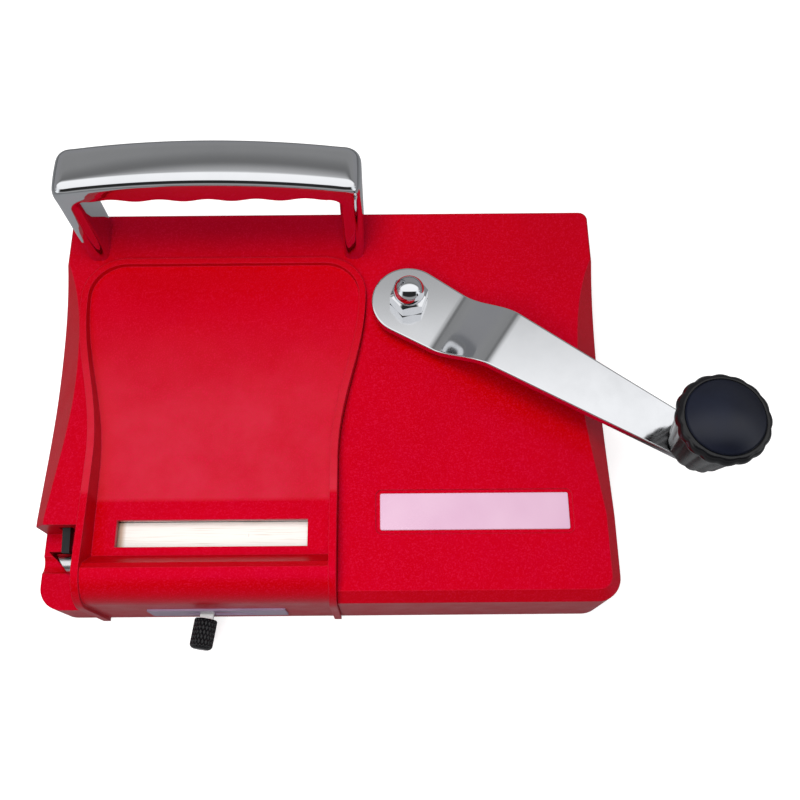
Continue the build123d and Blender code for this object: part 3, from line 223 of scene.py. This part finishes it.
def navy_cap(name):
    """Satin cap of the knob: blue-black, gently domed, with a fine matt grain."""
    finish = Finish(name, (0.003, 0.005, 0.012), 0.42, Specular_IOR_Level=0.36)
    low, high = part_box("knob_cap")
    apart = finish.add("ShaderNodeVectorMath", {0: finish.place, 1: (low + high) / 2}, operation="DISTANCE")
    reach = finish.remap(apart.outputs["Value"], 0.0, (high.x - low.x) / 2, 0.0, 1.0)
    dome = finish.math("SUBTRACT", 1.0, finish.math("MULTIPLY", reach, reach))
    grain = finish.noise(2600, detail=2.0)
    patch = finish.noise(60, detail=3.0)
    finish.mottle(patch, (0.003, 0.004, 0.010), (0.006, 0.008, 0.018))
    finish.feed("Roughness", finish.remap(patch, 0.3, 0.7, 0.38, 0.5))
    finish.bump(grain, 0.00002, 0.3, onto=finish.bump(dome, CAP_CROWN))
    return finish.material


def matt_black(name):
    """Dry black plastic or blackened steel."""
    finish = Finish(name, (0.007, 0.007, 0.008), 0.5, Specular_IOR_Level=0.3)
    grain = finish.noise(1800, detail=3.0)
    patch = finish.noise(80, detail=4.0)
    scuffed = finish.mix(finish.wear_and_highlight_edges(0.3), (0.007, 0.007, 0.008), (0.03, 0.03, 0.032))
    finish.feed("Base Color", scuffed)
    finish.feed("Roughness", finish.remap(patch, 0.3, 0.7, 0.4, 0.6))
    finish.bump(grain, 0.00002, 0.3)
    return finish.material


def lilac_plate(name):
    """Printed plastic plate: pale lilac with a faint wash, under a clear film."""
    finish = Finish(name, (0.63, 0.40, 0.53), 0.35, Coat_Weight=0.3, Coat_Roughness=0.15)
    wash = finish.noise(40, detail=2.0)
    grain = finish.noise(2200, detail=2.0)
    finish.mottle(wash, (0.61, 0.37, 0.51), (0.66, 0.43, 0.56))
    finish.bump(grain, 0.00001, 0.15)
    return finish.material


def blue_label(name):
    """Printed front label: mottled blue-grey."""
    finish = Finish(name, (0.34, 0.25, 0.37), 0.4, Coat_Weight=0.2)
    wash = finish.noise(60, detail=3.0)
    grain = finish.noise(2200, detail=2.0)
    finish.mottle(wash, (0.30, 0.21, 0.33), (0.39, 0.28, 0.41))
    finish.bump(grain, 0.00001, 0.15)
    return finish.material


def soft_rubber(name):
    """Black rubber with a dusty surface."""
    finish = Finish(name, (0.02, 0.02, 0.021), 0.75)
    dust = finish.noise(200, detail=5.0, roughness=0.7)
    finish.mottle(dust, (0.02, 0.02, 0.021), (0.09, 0.09, 0.09), 0.4, 0.8, 0.5)
    finish.bump(dust, 0.00004, 0.4)
    return finish.material


def guide_nylon(name):
    """Milky nylon."""
    finish = Finish(name, (0.78, 0.76, 0.70), 0.5, Subsurface_Weight=0.1, Subsurface_Scale=0.002)
    grain = finish.noise(700, detail=4.0)
    finish.mottle(grain, (0.74, 0.72, 0.66), (0.80, 0.78, 0.73))
    finish.bump(grain, 0.00003, 0.3)
    return finish.material


def scratched_shelf(name):
    """Pale planed metal with fine lines along the slot, a few scratches and tar at one end."""
    finish = Finish(name, (0.86, 0.84, 0.79), 0.45, metallic=0.35)
    lines = finish.noise(2600, detail=2.0, vector=finish.stretched((0.02, 1.0, 1.0)))
    nicks = finish.noise(900, detail=4.0, roughness=0.7, vector=finish.stretched((1.0, 0.12, 1.0)))
    tone = finish.mix(finish.remap(lines, 0.56, 0.7, 0.0, 0.45), (0.88, 0.86, 0.81), (0.52, 0.45, 0.36))
    tone = finish.mix(finish.remap(nicks, 0.68, 0.76, 0.0, 0.55), tone, (0.34, 0.27, 0.2))
    end = finish.remap(finish.axis("X"), SLOT_STAIN_X, SLOT_STAIN_X - 2.0 * MM, 0.0, 0.7)
    finish.feed("Base Color", finish.mix(end, tone, (0.42, 0.24, 0.12)))
    finish.bump(lines, 0.00002, 0.3)
    return finish.material


ALONG_X = (0.04, 1.0, 1.0)
FINISHES = {
    "red_shell": red_shell("red_shell_finish"),
    "chrome": chrome("chrome_finish"),
    "black_grip": black_gloss("black_grip_finish"),
    "black_matte": matt_black("black_matte_finish"),
    "plate_lilac": lilac_plate("plate_lilac_finish"),
    "label_blue": blue_label("label_blue_finish"),
    "steel": metal("steel_finish", (0.62, 0.62, 0.63), 0.28, brush=ALONG_X),
    "dark_steel": metal("dark_steel_finish", (0.16, 0.16, 0.17), 0.45),
    "aluminium": metal("aluminium_finish", (0.84, 0.82, 0.80), 0.34, brush=ALONG_X),
    "bronze": metal("bronze_finish", (0.62, 0.36, 0.14), 0.35),
    "rubber": soft_rubber("rubber_finish"),
    "guide_plastic": guide_nylon("guide_plastic_finish"),
}
cap_finish = navy_cap("knob_cap_finish")
tray_finish = red_shell("red_tray_finish", painted_sheen=True)
arm_finish = chrome("satin_chrome_finish", 0.1)
shelf_finish = scratched_shelf("shelf_finish")
grip_finish = black_gloss("lever_grip_finish")
lever_finish = metal("lever_strip_finish", (0.9, 0.9, 0.88), 0.35, brush=ALONG_X)


# ---------------------------------------------------------------- mesh helpers
def loft(rings, around=False):
    """A mesh through rings of points. Each ring is closed; around joins the last ring to the first."""
    shape = bmesh.new()
    rows = [[shape.verts.new(point) for point in ring] for ring in rings]
    following_rows = rows[1:] + rows[:1] if around else rows[1:]
    for row, following in zip(rows, following_rows):
        for i in range(len(row)):
            j = (i + 1) % len(row)
            shape.faces.new((row[i], row[j], following[j], following[i]))
    if not around:
        shape.faces.new(rows[0])
        shape.faces.new(rows[-1])
    bmesh.ops.remove_doubles(shape, verts=shape.verts, dist=0.002 * MM)
    bmesh.ops.recalc_face_normals(shape, faces=shape.faces)
    return shape


def add_piece(name, shape, body, slot_name, stands_for, sharp, finish=None):
    """Turn a mesh into a piece that rides on a body and stands for a CAD node; sharp in degrees."""
    mesh = bpy.data.meshes.new(name)
    shape.to_mesh(mesh)
    shape.free()
    mesh.polygons.foreach_set("use_smooth", [True] * len(mesh.polygons))
    mesh.set_sharp_from_angle(angle=radians(sharp))
    mesh.materials.append(finish or FINISHES[slot_name])
    piece = bpy.data.objects.new(name, mesh)
    bpy.context.scene.collection.objects.link(piece)
    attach(piece, body)
    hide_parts(stands_for)


def spread(start, end, count):
    """Evenly spaced values from start to end, both included."""
    return [start + (end - start) * i / (count - 1) for i in range(count)]


def arc(centre_u, centre_v, radius, start, end, count):
    """Points on a circle; angles in degrees."""
    return [
        (centre_u + radius * cos(radians(a)), centre_v + radius * sin(radians(a)))
        for a in spread(start, end, count)
    ]


def between(first, last, count):
    """Points strictly between two points."""
    return [
        tuple(a + (b - a) * t for a, b in zip(first, last)) for t in spread(0.0, 1.0, count + 2)[1:-1]
    ]


def middle_of(node):
    """Centre of a CAD node's box."""
    low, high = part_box(node)
    return (low + high) / 2


# ---------------------------------------------------------------- carry handle
HANDLE_LEG = 9.6 * MM
HANDLE_OUTER_CORNER = 7.0 * MM
HANDLE_INNER_CORNER = 5.0 * MM
HANDLE_SAG = 6.6 * MM
HANDLE_UNDERSIDE = 90.3 * MM
HANDLE_SHOULDER = 7.0 * MM
HANDLE_SIDE = 3.2 * MM
HANDLE_BAR_EDGE = 1.3 * MM
HANDLE_LEG_EDGE = 3.5 * MM
HANDLE_CROWN = 3.5
HANDLE_SHOULDER_END = 32.0
SCALLOP_PITCH = 19.8 * MM
SCALLOP_DEPTH = 1.5 * MM
SCALLOP_CREST_X = -76.5 * MM
SCALLOP_START = -96.0 * MM
SCALLOP_END = 0.4 * MM


def scallop_height(x):
    """Height of the finger-grip wave under the bar."""
    x = min(max(x, SCALLOP_START), SCALLOP_END)
    return HANDLE_UNDERSIDE - SCALLOP_DEPTH / 2 * cos(2 * pi * (x - SCALLOP_CREST_X) / SCALLOP_PITCH)


def handle_section(outer, inner, middle_y, half_depth, inner_edge):
    """Ring round the handle between an outer and an inner point: soft shoulders and a crowned outer face."""
    height = (outer - inner).length
    out = (outer - inner).normalized()
    crown = radians(HANDLE_CROWN)
    turn = radians(HANDLE_SHOULDER_END)
    shoulder_v = half_depth - HANDLE_SIDE * (1 - sin(turn))
    face_v = shoulder_v - HANDLE_SHOULDER * (sin(turn) - sin(crown))
    bulge = sin(crown) / cos(crown) / (2 * face_v)
    shoulder_u = height - bulge * face_v**2 - HANDLE_SHOULDER * (cos(crown) - cos(turn))
    side_u = shoulder_u - HANDLE_SIDE * cos(turn)
    half = [(0.0, v) for v in spread(0.0, half_depth - inner_edge, 4)]
    half += arc(inner_edge, half_depth - inner_edge, inner_edge, 180, 90, 7)[1:]
    half += [(u, half_depth) for u in spread(inner_edge, side_u, 4)[1:]]
    half += arc(side_u, half_depth - HANDLE_SIDE, HANDLE_SIDE, 90, HANDLE_SHOULDER_END, 9)[1:]
    half += arc(
        shoulder_u - HANDLE_SHOULDER * cos(turn), shoulder_v - HANDLE_SHOULDER * sin(turn),
        HANDLE_SHOULDER, HANDLE_SHOULDER_END, HANDLE_CROWN, 8,
    )[1:]
    half += [(height - bulge * v**2, v) for v in spread(face_v, 0.0, 7)[1:]]
    loop = half + [(u, -v) for u, v in reversed(half[1:-1])]
    return [inner + out * u + Vector((0, middle_y + v, 0)) for u, v in loop]


def handle_half(low, high):
    """(outer, inner, inner edge radius) from the foot of the left leg to the middle of the bar."""
    left, foot, top = low.x, low.z, high.z
    centre_x = (low.x + high.x) / 2
    half_width = (high.x - low.x) / 2
    big_radius = (half_width**2 + HANDLE_SAG**2) / (2 * HANDLE_SAG)
    big_centre = top - big_radius
    inner_turn = left + HANDLE_LEG + HANDLE_INNER_CORNER
    bar_start_z = scallop_height(inner_turn)
    leg_end = bar_start_z - HANDLE_INNER_CORNER
    corner_x = left + HANDLE_OUTER_CORNER
    corner_reach = big_radius - HANDLE_OUTER_CORNER
    corner_z = big_centre + sqrt(corner_reach**2 - (centre_x - corner_x) ** 2)

    def bar_top(x):
        return big_centre + sqrt(big_radius**2 - (centre_x - x) ** 2)

    stations = []
    for z in spread(foot, leg_end, 14):
        stations.append((Vector((left, 0, z)), Vector((left + HANDLE_LEG, 0, z)), HANDLE_LEG_EDGE))
    lean = atan2(centre_x - corner_x, corner_z - big_centre)
    turn_end = pi / 2 + lean
    corner_end_x = corner_x + HANDLE_OUTER_CORNER * cos(turn_end)
    lengths = (
        corner_z - leg_end, HANDLE_OUTER_CORNER * (pi - turn_end), inner_turn - corner_end_x,
    )
    for t in spread(0.0, 1.0, 26)[1:]:
        walked = t * sum(lengths)
        if walked < lengths[0]:
            outer = Vector((left, 0, leg_end + walked))
        elif walked < lengths[0] + lengths[1]:
            angle = pi - (walked - lengths[0]) / HANDLE_OUTER_CORNER
            outer = Vector((
                corner_x + HANDLE_OUTER_CORNER * cos(angle), 0, corner_z + HANDLE_OUTER_CORNER * sin(angle)
            ))
        else:
            x = corner_end_x + walked - lengths[0] - lengths[1]
            outer = Vector((x, 0, bar_top(x)))
        inner_x = inner_turn - HANDLE_INNER_CORNER * cos(t * pi / 2)
        inner = Vector((inner_x, 0, leg_end + HANDLE_INNER_CORNER * sin(t * pi / 2)))
        stations.append((outer, inner, HANDLE_LEG_EDGE + (HANDLE_BAR_EDGE - HANDLE_LEG_EDGE) * t))
    return stations, bar_top, inner_turn, centre_x


def make_handle():
    """The chromed carry handle: two legs and a crowned bar with finger scallops beneath."""
    low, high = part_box("carry_handle")
    stations, bar_top, inner_turn, centre_x = handle_half(low, high)
    mirrored = [
        (Vector((2 * centre_x - o.x, 0, o.z)), Vector((2 * centre_x - i.x, 0, i.z)), edge)
        for o, i, edge in reversed(stations)
    ]
    for x in spread(inner_turn, 2 * centre_x - inner_turn, 92)[1:-1]:
        stations.append((Vector((x, 0, bar_top(x))), Vector((x, 0, scallop_height(x))), HANDLE_BAR_EDGE))
    stations += mirrored
    middle_y = (low.y + high.y) / 2
    half_depth = (high.y - low.y) / 2
    rings = [handle_section(o, i, middle_y, half_depth, edge) for o, i, edge in stations]
    add_piece("handle_casting", loft(rings), "root", "chrome", "carry_handle", sharp=50)


# ---------------------------------------------------------------- crank arm
ARM_HUB_RADIUS = 16.2 * MM
ARM_TIP_RADIUS = 8.4 * MM
ARM_THICKNESS = 4.0 * MM
ARM_EDGE = 0.5 * MM
ARM_MARGIN = 0.25 * MM
ARM_RISE = (19.0 * MM, 46.5 * MM)


def make_crank_arm():
    """The pressed steel arm: a tapering strip that steps up between the hub and the knob."""
    low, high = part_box("crank_arm")
    pivot = middle_of("crank_shaft")
    knob = middle_of("crank_knob")
    run = Vector((knob.x - pivot.x, knob.y - pivot.y, 0))
    reach = run.length
    along = run.normalized()
    across = Vector((-along.y, along.x, 0))
    lean = (ARM_HUB_RADIUS - ARM_TIP_RADIUS) / reach
    bottom_hub = low.z
    rise = high.z - ARM_THICKNESS - low.z

    def height(s):
        t = min(max((s - ARM_RISE[0]) / (ARM_RISE[1] - ARM_RISE[0]), 0.0), 1.0)
        return bottom_hub + rise * t * t * (3 - 2 * t)

    # Half outline as (place along, place across, outward direction).
    tangent_angle = pi / 2 - atan2(lean, sqrt(1 - lean**2))
    outline = []
    for a in spread(pi, tangent_angle, 30):
        outline.append((ARM_HUB_RADIUS * cos(a), ARM_HUB_RADIUS * sin(a), cos(a), sin(a)))
    start = outline[-1]
    end = (reach + ARM_TIP_RADIUS * cos(tangent_angle), ARM_TIP_RADIUS * sin(tangent_angle))
    for t in spread(0.0, 1.0, 110)[1:-1]:
        outline.append((
            start[0] + (end[0] - start[0]) * t, start[1] + (end[1] - start[1]) * t,
            cos(tangent_angle), sin(tangent_angle),
        ))
    for a in spread(tangent_angle, 0.0, 20):
        outline.append((reach + ARM_TIP_RADIUS * cos(a), ARM_TIP_RADIUS * sin(a), cos(a), sin(a)))

    # Edge profile from the top face round to the bottom face, as (step inwards, height).
    edge = [(ARM_EDGE + ARM_MARGIN, ARM_THICKNESS)]
    edge += [(ARM_EDGE - u, ARM_THICKNESS - ARM_EDGE + v) for u, v in arc(0, 0, ARM_EDGE, 90, 0, 5)]
    edge += [(ARM_EDGE - u, ARM_EDGE + v) for u, v in arc(0, 0, ARM_EDGE, 0, -90, 5)]
    edge.append((ARM_EDGE + ARM_MARGIN, 0.0))
    rings = []
    for s, w, normal_s, normal_w in outline:
        side = [(s - normal_s * step, max(w - normal_w * step, 0.0), z) for step, z in edge]
        far_side = [(place_s, -place_w, z) for place_s, place_w, z in reversed(side)]
        loop = side + between(side[-1], far_side[0], 9) + far_side + between(far_side[-1], side[0], 9)
        rings.append([
            Vector((pivot.x, pivot.y, height(place_s) + z)) + along * place_s + across * place_w
            for place_s, place_w, z in loop
        ])
    add_piece("crank_arm_strip", loft(rings), "crank", "chrome", "crank_arm", sharp=60, finish=arm_finish)


# ---------------------------------------------------------------- crank knob
KNOB_LOBES = 16
KNOB_BASE_RADIUS = 12.4 * MM
KNOB_NECK_RADIUS = 16.0 * MM
KNOB_RIM_RADIUS = 17.8 * MM
KNOB_SEAT_RADIUS = 14.8 * MM
KNOB_POCKET_RADIUS = 8.5 * MM
KNOB_BORE_RADIUS = 4.06 * MM
KNOB_NECK_DROP = 6.0 * MM
KNOB_RIM_DROP = 3.6 * MM
KNOB_SEAT_DROP = 0.8 * MM
KNOB_POCKET_DROP = 11.8 * MM
KNOB_FIRST_VALLEY = radians(8.0)
LOBE_STEPS = 14


def lobe(angle):
    """0 in the valleys between the finger lobes and 1 on their crests."""
    wave = abs(sin(KNOB_LOBES * (angle - KNOB_FIRST_VALLEY) / 2))
    return ((wave**2 + 0.03) / 1.03) ** 0.42


def make_knob():
    """The black crank knob: a tapering lobed body under a wider lobed rim."""
    low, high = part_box("crank_knob")
    centre = (low + high) / 2
    bottom, top = low.z, high.z
    neck_z = top - KNOB_NECK_DROP
    rim_z = top - KNOB_RIM_DROP
    seat_z = top - KNOB_SEAT_DROP
    pocket_z = top - KNOB_POCKET_DROP
    # (radius, height, lobe depth)
    profile = [
        (KNOB_BASE_RADIUS - 1.2 * MM, bottom, 0.3 * MM),
        (KNOB_BASE_RADIUS - 0.3 * MM, bottom + 0.25 * MM, 0.5 * MM),
    ]
    for t in spread(0.0, 1.0, 14):
        profile.append((
            KNOB_BASE_RADIUS + (KNOB_NECK_RADIUS - KNOB_BASE_RADIUS) * t,
            bottom + 1.0 * MM + (neck_z - bottom - 1.0 * MM) * t, 0.75 * MM,
        ))
    profile.append((KNOB_RIM_RADIUS - 0.9 * MM, neck_z + 0.5 * MM, 0.8 * MM))
    profile.append((KNOB_RIM_RADIUS - 0.3 * MM, neck_z + 1.1 * MM, 0.75 * MM))
    profile.append((KNOB_RIM_RADIUS, rim_z, 0.7 * MM))
    crest = KNOB_RIM_RADIUS - KNOB_SEAT_RADIUS - 0.5 * MM
    for a in spread(0.0, pi / 2, 9)[1:]:
        profile.append((
            KNOB_RIM_RADIUS - crest + crest * cos(a), rim_z + (top - rim_z) * sin(a), 0.7 * MM * cos(a)
        ))
    profile += [
        (KNOB_SEAT_RADIUS + 0.12 * MM, top - 0.12 * MM, 0.0),
        (KNOB_SEAT_RADIUS, top - 0.35 * MM, 0.0),
        (KNOB_SEAT_RADIUS, seat_z, 0.0),
        (KNOB_POCKET_RADIUS, seat_z, 0.0),
        (KNOB_POCKET_RADIUS, pocket_z, 0.0),
        (KNOB_BORE_RADIUS, pocket_z, 0.0),
        (KNOB_BORE_RADIUS, bottom, 0.0),
    ]
    angles = [2 * pi * i / (KNOB_LOBES * LOBE_STEPS) for i in range(KNOB_LOBES * LOBE_STEPS)]
    rings = []
    for radius, z, depth in profile:
        ring = []
        for angle in angles:
            r = radius - depth * (1 - lobe(angle))
            ring.append(Vector((centre.x + r * cos(angle), centre.y + r * sin(angle), z)))
        rings.append(ring)
    add_piece("knob_body", loft(rings, around=True), "knob", "black_grip", "crank_knob", sharp=50)


# ---------------------------------------------------------------- density lever grip
GRIP_RADIUS = 4.8 * MM
GRIP_LENGTH = 12.6 * MM
GRIP_START = 39.0 * MM
GRIP_STARTS = 19
GRIP_TWIST = 0.42
GRIP_GROOVE = 0.62 * MM
GRIP_STEPS = 10


def make_grip():
    """The knurled grip on the lever: two sets of crossing helical grooves."""
    lever = middle_of("lever_grip")
    pivot = middle_of("lever_clip")
    axis = Vector((lever.x - pivot.x, lever.y - pivot.y, 0)).normalized()
    side = Vector((-axis.y, axis.x, 0))
    start = Vector((pivot.x, pivot.y, lever.z)) + axis * GRIP_START
    count = GRIP_STARTS * GRIP_STEPS

    def groove(phase):
        return max(0.0, cos(phase)) ** 4

    # (distance from the end, step inwards) in millimetres, at the root and at the tip.
    root = [(0.0, 1.1), (0.12, 0.5), (0.5, 0.1), (0.9, 0.0)]
    slices = [(x * MM, inset * MM) for x, inset in root]
    slices += [(x, 0.0) for x in spread(1.2 * MM, GRIP_LENGTH - 1.6 * MM, 56)]
    tip = [(1.3, 0.08), (0.8, 0.4), (0.35, 0.9), (0.08, 1.5), (0.0, 2.0)]
    slices += [(GRIP_LENGTH - x * MM, inset * MM) for x, inset in tip]
    rings = []
    for x, inset in slices:
        ring = []
        for i in range(count):
            angle = 2 * pi * i / count
            twist = GRIP_TWIST * GRIP_STARTS * x / GRIP_RADIUS
            cut = max(groove(GRIP_STARTS * angle + twist), 0.75 * groove(GRIP_STARTS * angle - twist))
            radius = GRIP_RADIUS - inset - GRIP_GROOVE * cut * (1.0 if inset < 0.3 * MM else 0.4)
            rise = Vector((0, 0, radius * sin(angle)))
            ring.append(start + axis * x + side * (radius * cos(angle)) + rise)
        rings.append(ring)
    add_piece("grip_knurled", loft(rings), "lever", "black_matte", "lever_grip", 60, grip_finish)


make_handle()
make_crank_arm()
make_knob()
make_grip()


# ---------------------------------------------------------------- CAD nodes that stay
def paint(node, finish):
    """Give every material slot of a node one finish."""
    for slot in nodes[node].material_slots:
        slot.material = finish


for node, piece in nodes.items():
    for slot in piece.material_slots:
        slot.material = FINISHES[slot.material.name.split(".")[0]]
paint("knob_cap", cap_finish)
paint("hopper_cover", tray_finish)
paint("chamber_block", shelf_finish)
paint("density_lever", lever_finish)


# ---------------------------------------------------------------- stage, light and camera
FLOOR_RADIUS = 1.6


def make_floor():
    """A wide pale floor disc: near white to the camera, duller to the light it bounces."""
    mesh = bpy.data.meshes.new("floor")
    shape = bmesh.new()
    bmesh.ops.create_circle(shape, cap_ends=True, radius=FLOOR_RADIUS, segments=96)
    shape.to_mesh(mesh)
    shape.free()
    floor = bpy.data.objects.new("floor", mesh)
    bpy.context.scene.collection.objects.link(floor)
    finish = Finish("floor_finish", (0.64, 0.63, 0.63), 0.6)
    tone = finish.mix(finish.noise(3.0), (0.62, 0.61, 0.61), (0.66, 0.65, 0.65))
    seen = finish.add("ShaderNodeLightPath").outputs["Is Camera Ray"]
    finish.feed("Base Color", finish.mix(seen, (0.35, 0.36, 0.37), tone))
    finish.feed("Emission Color", (1.0, 1.0, 1.0, 1.0))
    finish.feed("Emission Strength", finish.math("MULTIPLY", seen, 0.72))
    mesh.materials.append(finish.material)


TILT_SPAN = 200
CEILING_BY_TILT = (
    # degrees of tilt backward from straight up, brightness of what chrome sees there
    (-100, 0.5),
    (-76, 0.4),
    (-68, 0.03),
    (-34, 0.03),
    (-28, 1.35),
    (21, 1.4),
    (25, 1.05),
    (28, 0.6),
    (34, 0.22),
    (42, 0.33),
    (60, 0.35),
    (100, 0.38),
)
AMBIENT = 0.2
CAMERA_PLACE = (0.0259, -0.14435, 0.4085)
CAMERA_LEAN = radians(21.0)
CAMERA_ROLL = -0.0081


def make_sky():
    """Soft studio surroundings: even light on matt surfaces, a ceiling and a dark figure for glossy ones."""
    world = bpy.data.worlds.new("studio")
    world.use_nodes = True
    world.cycles.sampling_method = "NONE"
    bpy.context.scene.world = world
    tree = world.node_tree
    link = tree.links.new
    direction = tree.nodes.new("ShaderNodeTexCoord").outputs["Generated"]
    parts = tree.nodes.new("ShaderNodeSeparateXYZ")
    link(direction, parts.inputs[0])

    def step(operation, first, second=0.0):
        made = tree.nodes.new("ShaderNodeMath")
        made.operation = operation
        for socket, value in zip(made.inputs, (first, second)):
            if isinstance(value, bpy.types.NodeSocket):
                link(value, socket)
            else:
                socket.default_value = value
        return made.outputs[0]

    def rise(value, low, high):
        made = tree.nodes.new("ShaderNodeMapRange")
        made.interpolation_type = "SMOOTHSTEP"
        link(value, made.inputs["Value"])
        made.inputs["From Min"].default_value = low
        made.inputs["From Max"].default_value = high
        return made.outputs["Result"]

    def blend(factor, first, second):
        made = tree.nodes.new("ShaderNodeMix")
        made.data_type = "RGBA"
        link(factor, made.inputs["Factor"])
        for socket, value in ((made.inputs[6], first), (made.inputs[7], second)):
            if isinstance(value, bpy.types.NodeSocket):
                link(value, socket)
            else:
                socket.default_value = (*value, 1.0)
        return made.outputs[2]

    tilt = step("ARCTAN2", parts.outputs["Y"], parts.outputs["Z"])
    share = step("ADD", step("DIVIDE", tilt, radians(TILT_SPAN)), 0.5)
    ramp = tree.nodes.new("ShaderNodeValToRGB")
    ramp.color_ramp.interpolation = "EASE"
    stops = ramp.color_ramp.elements
    for index, (degrees_back, brightness) in enumerate(CEILING_BY_TILT):
        position = degrees_back / TILT_SPAN + 0.5
        stop = stops[index] if index < 2 else stops.new(position)
        stop.position = position
        stop.color = (brightness, brightness, brightness, 1.0)
    link(share, ramp.inputs["Fac"])
    in_front = rise(step("MULTIPLY", parts.outputs["Y"], -1.0), 0.05, 0.25)
    off_centre = rise(step("ABSOLUTE", parts.outputs["X"]), 0.7, 0.88)
    front = blend(step("MULTIPLY", in_front, off_centre), ramp.outputs["Color"], (1.25, 1.28, 1.3))
    low_side = step("SUBTRACT", 1.0, rise(parts.outputs["Z"], 0.25, 0.5))
    not_front = rise(parts.outputs["Y"], -0.25, 0.1)
    seen = blend(step("MULTIPLY", low_side, not_front), front, (0.34, 0.34, 0.35))
    path = tree.nodes.new("ShaderNodeLightPath").outputs
    lit = blend(path["Is Glossy Ray"], (AMBIENT, AMBIENT, AMBIENT), seen)
    lit = blend(path["Is Camera Ray"], lit, (1.05, 1.05, 1.05))
    background = tree.nodes["Background"]
    link(lit, background.inputs["Color"])
    background.inputs["Strength"].default_value = 1.0


def make_softbox(name, place, aim, size, power):
    """A square area light pointed at a place."""
    data = bpy.data.lights.new(name, "AREA")
    data.size = size
    data.energy = power
    light = bpy.data.objects.new(name, data)
    bpy.context.scene.collection.objects.link(light)
    light.location = place
    light.rotation_mode = "QUATERNION"
    light.rotation_quaternion = (Vector(aim) - Vector(place)).to_track_quat("-Z", "Y")
    light.visible_glossy = False


def make_camera():
    """The camera above and in front of the machine, leaning back from straight down."""
    data = bpy.data.cameras.new("camera")
    data.sensor_width = 36.0
    data.lens = 40.9
    data.shift_x = 0.016
    data.clip_start = 0.02
    camera = bpy.data.objects.new("camera", data)
    bpy.context.scene.collection.objects.link(camera)
    turned = Matrix.Rotation(CAMERA_LEAN, 4, "X") @ Matrix.Rotation(CAMERA_ROLL, 4, "Z")
    camera.matrix_world = Matrix.Translation(CAMERA_PLACE) @ turned
    bpy.context.scene.camera = camera


make_floor()
make_sky()
make_softbox("overhead", (-0.04, 0.02, 0.5), (-0.04, 0.02, 0.0), 0.16, 1.4)
make_softbox("front_fill", (-0.05, -0.24, 0.5), (0.0, -0.06, 0.0), 0.3, 1.6)
make_camera()
bpy.context.scene.view_settings.view_transform = "Standard"
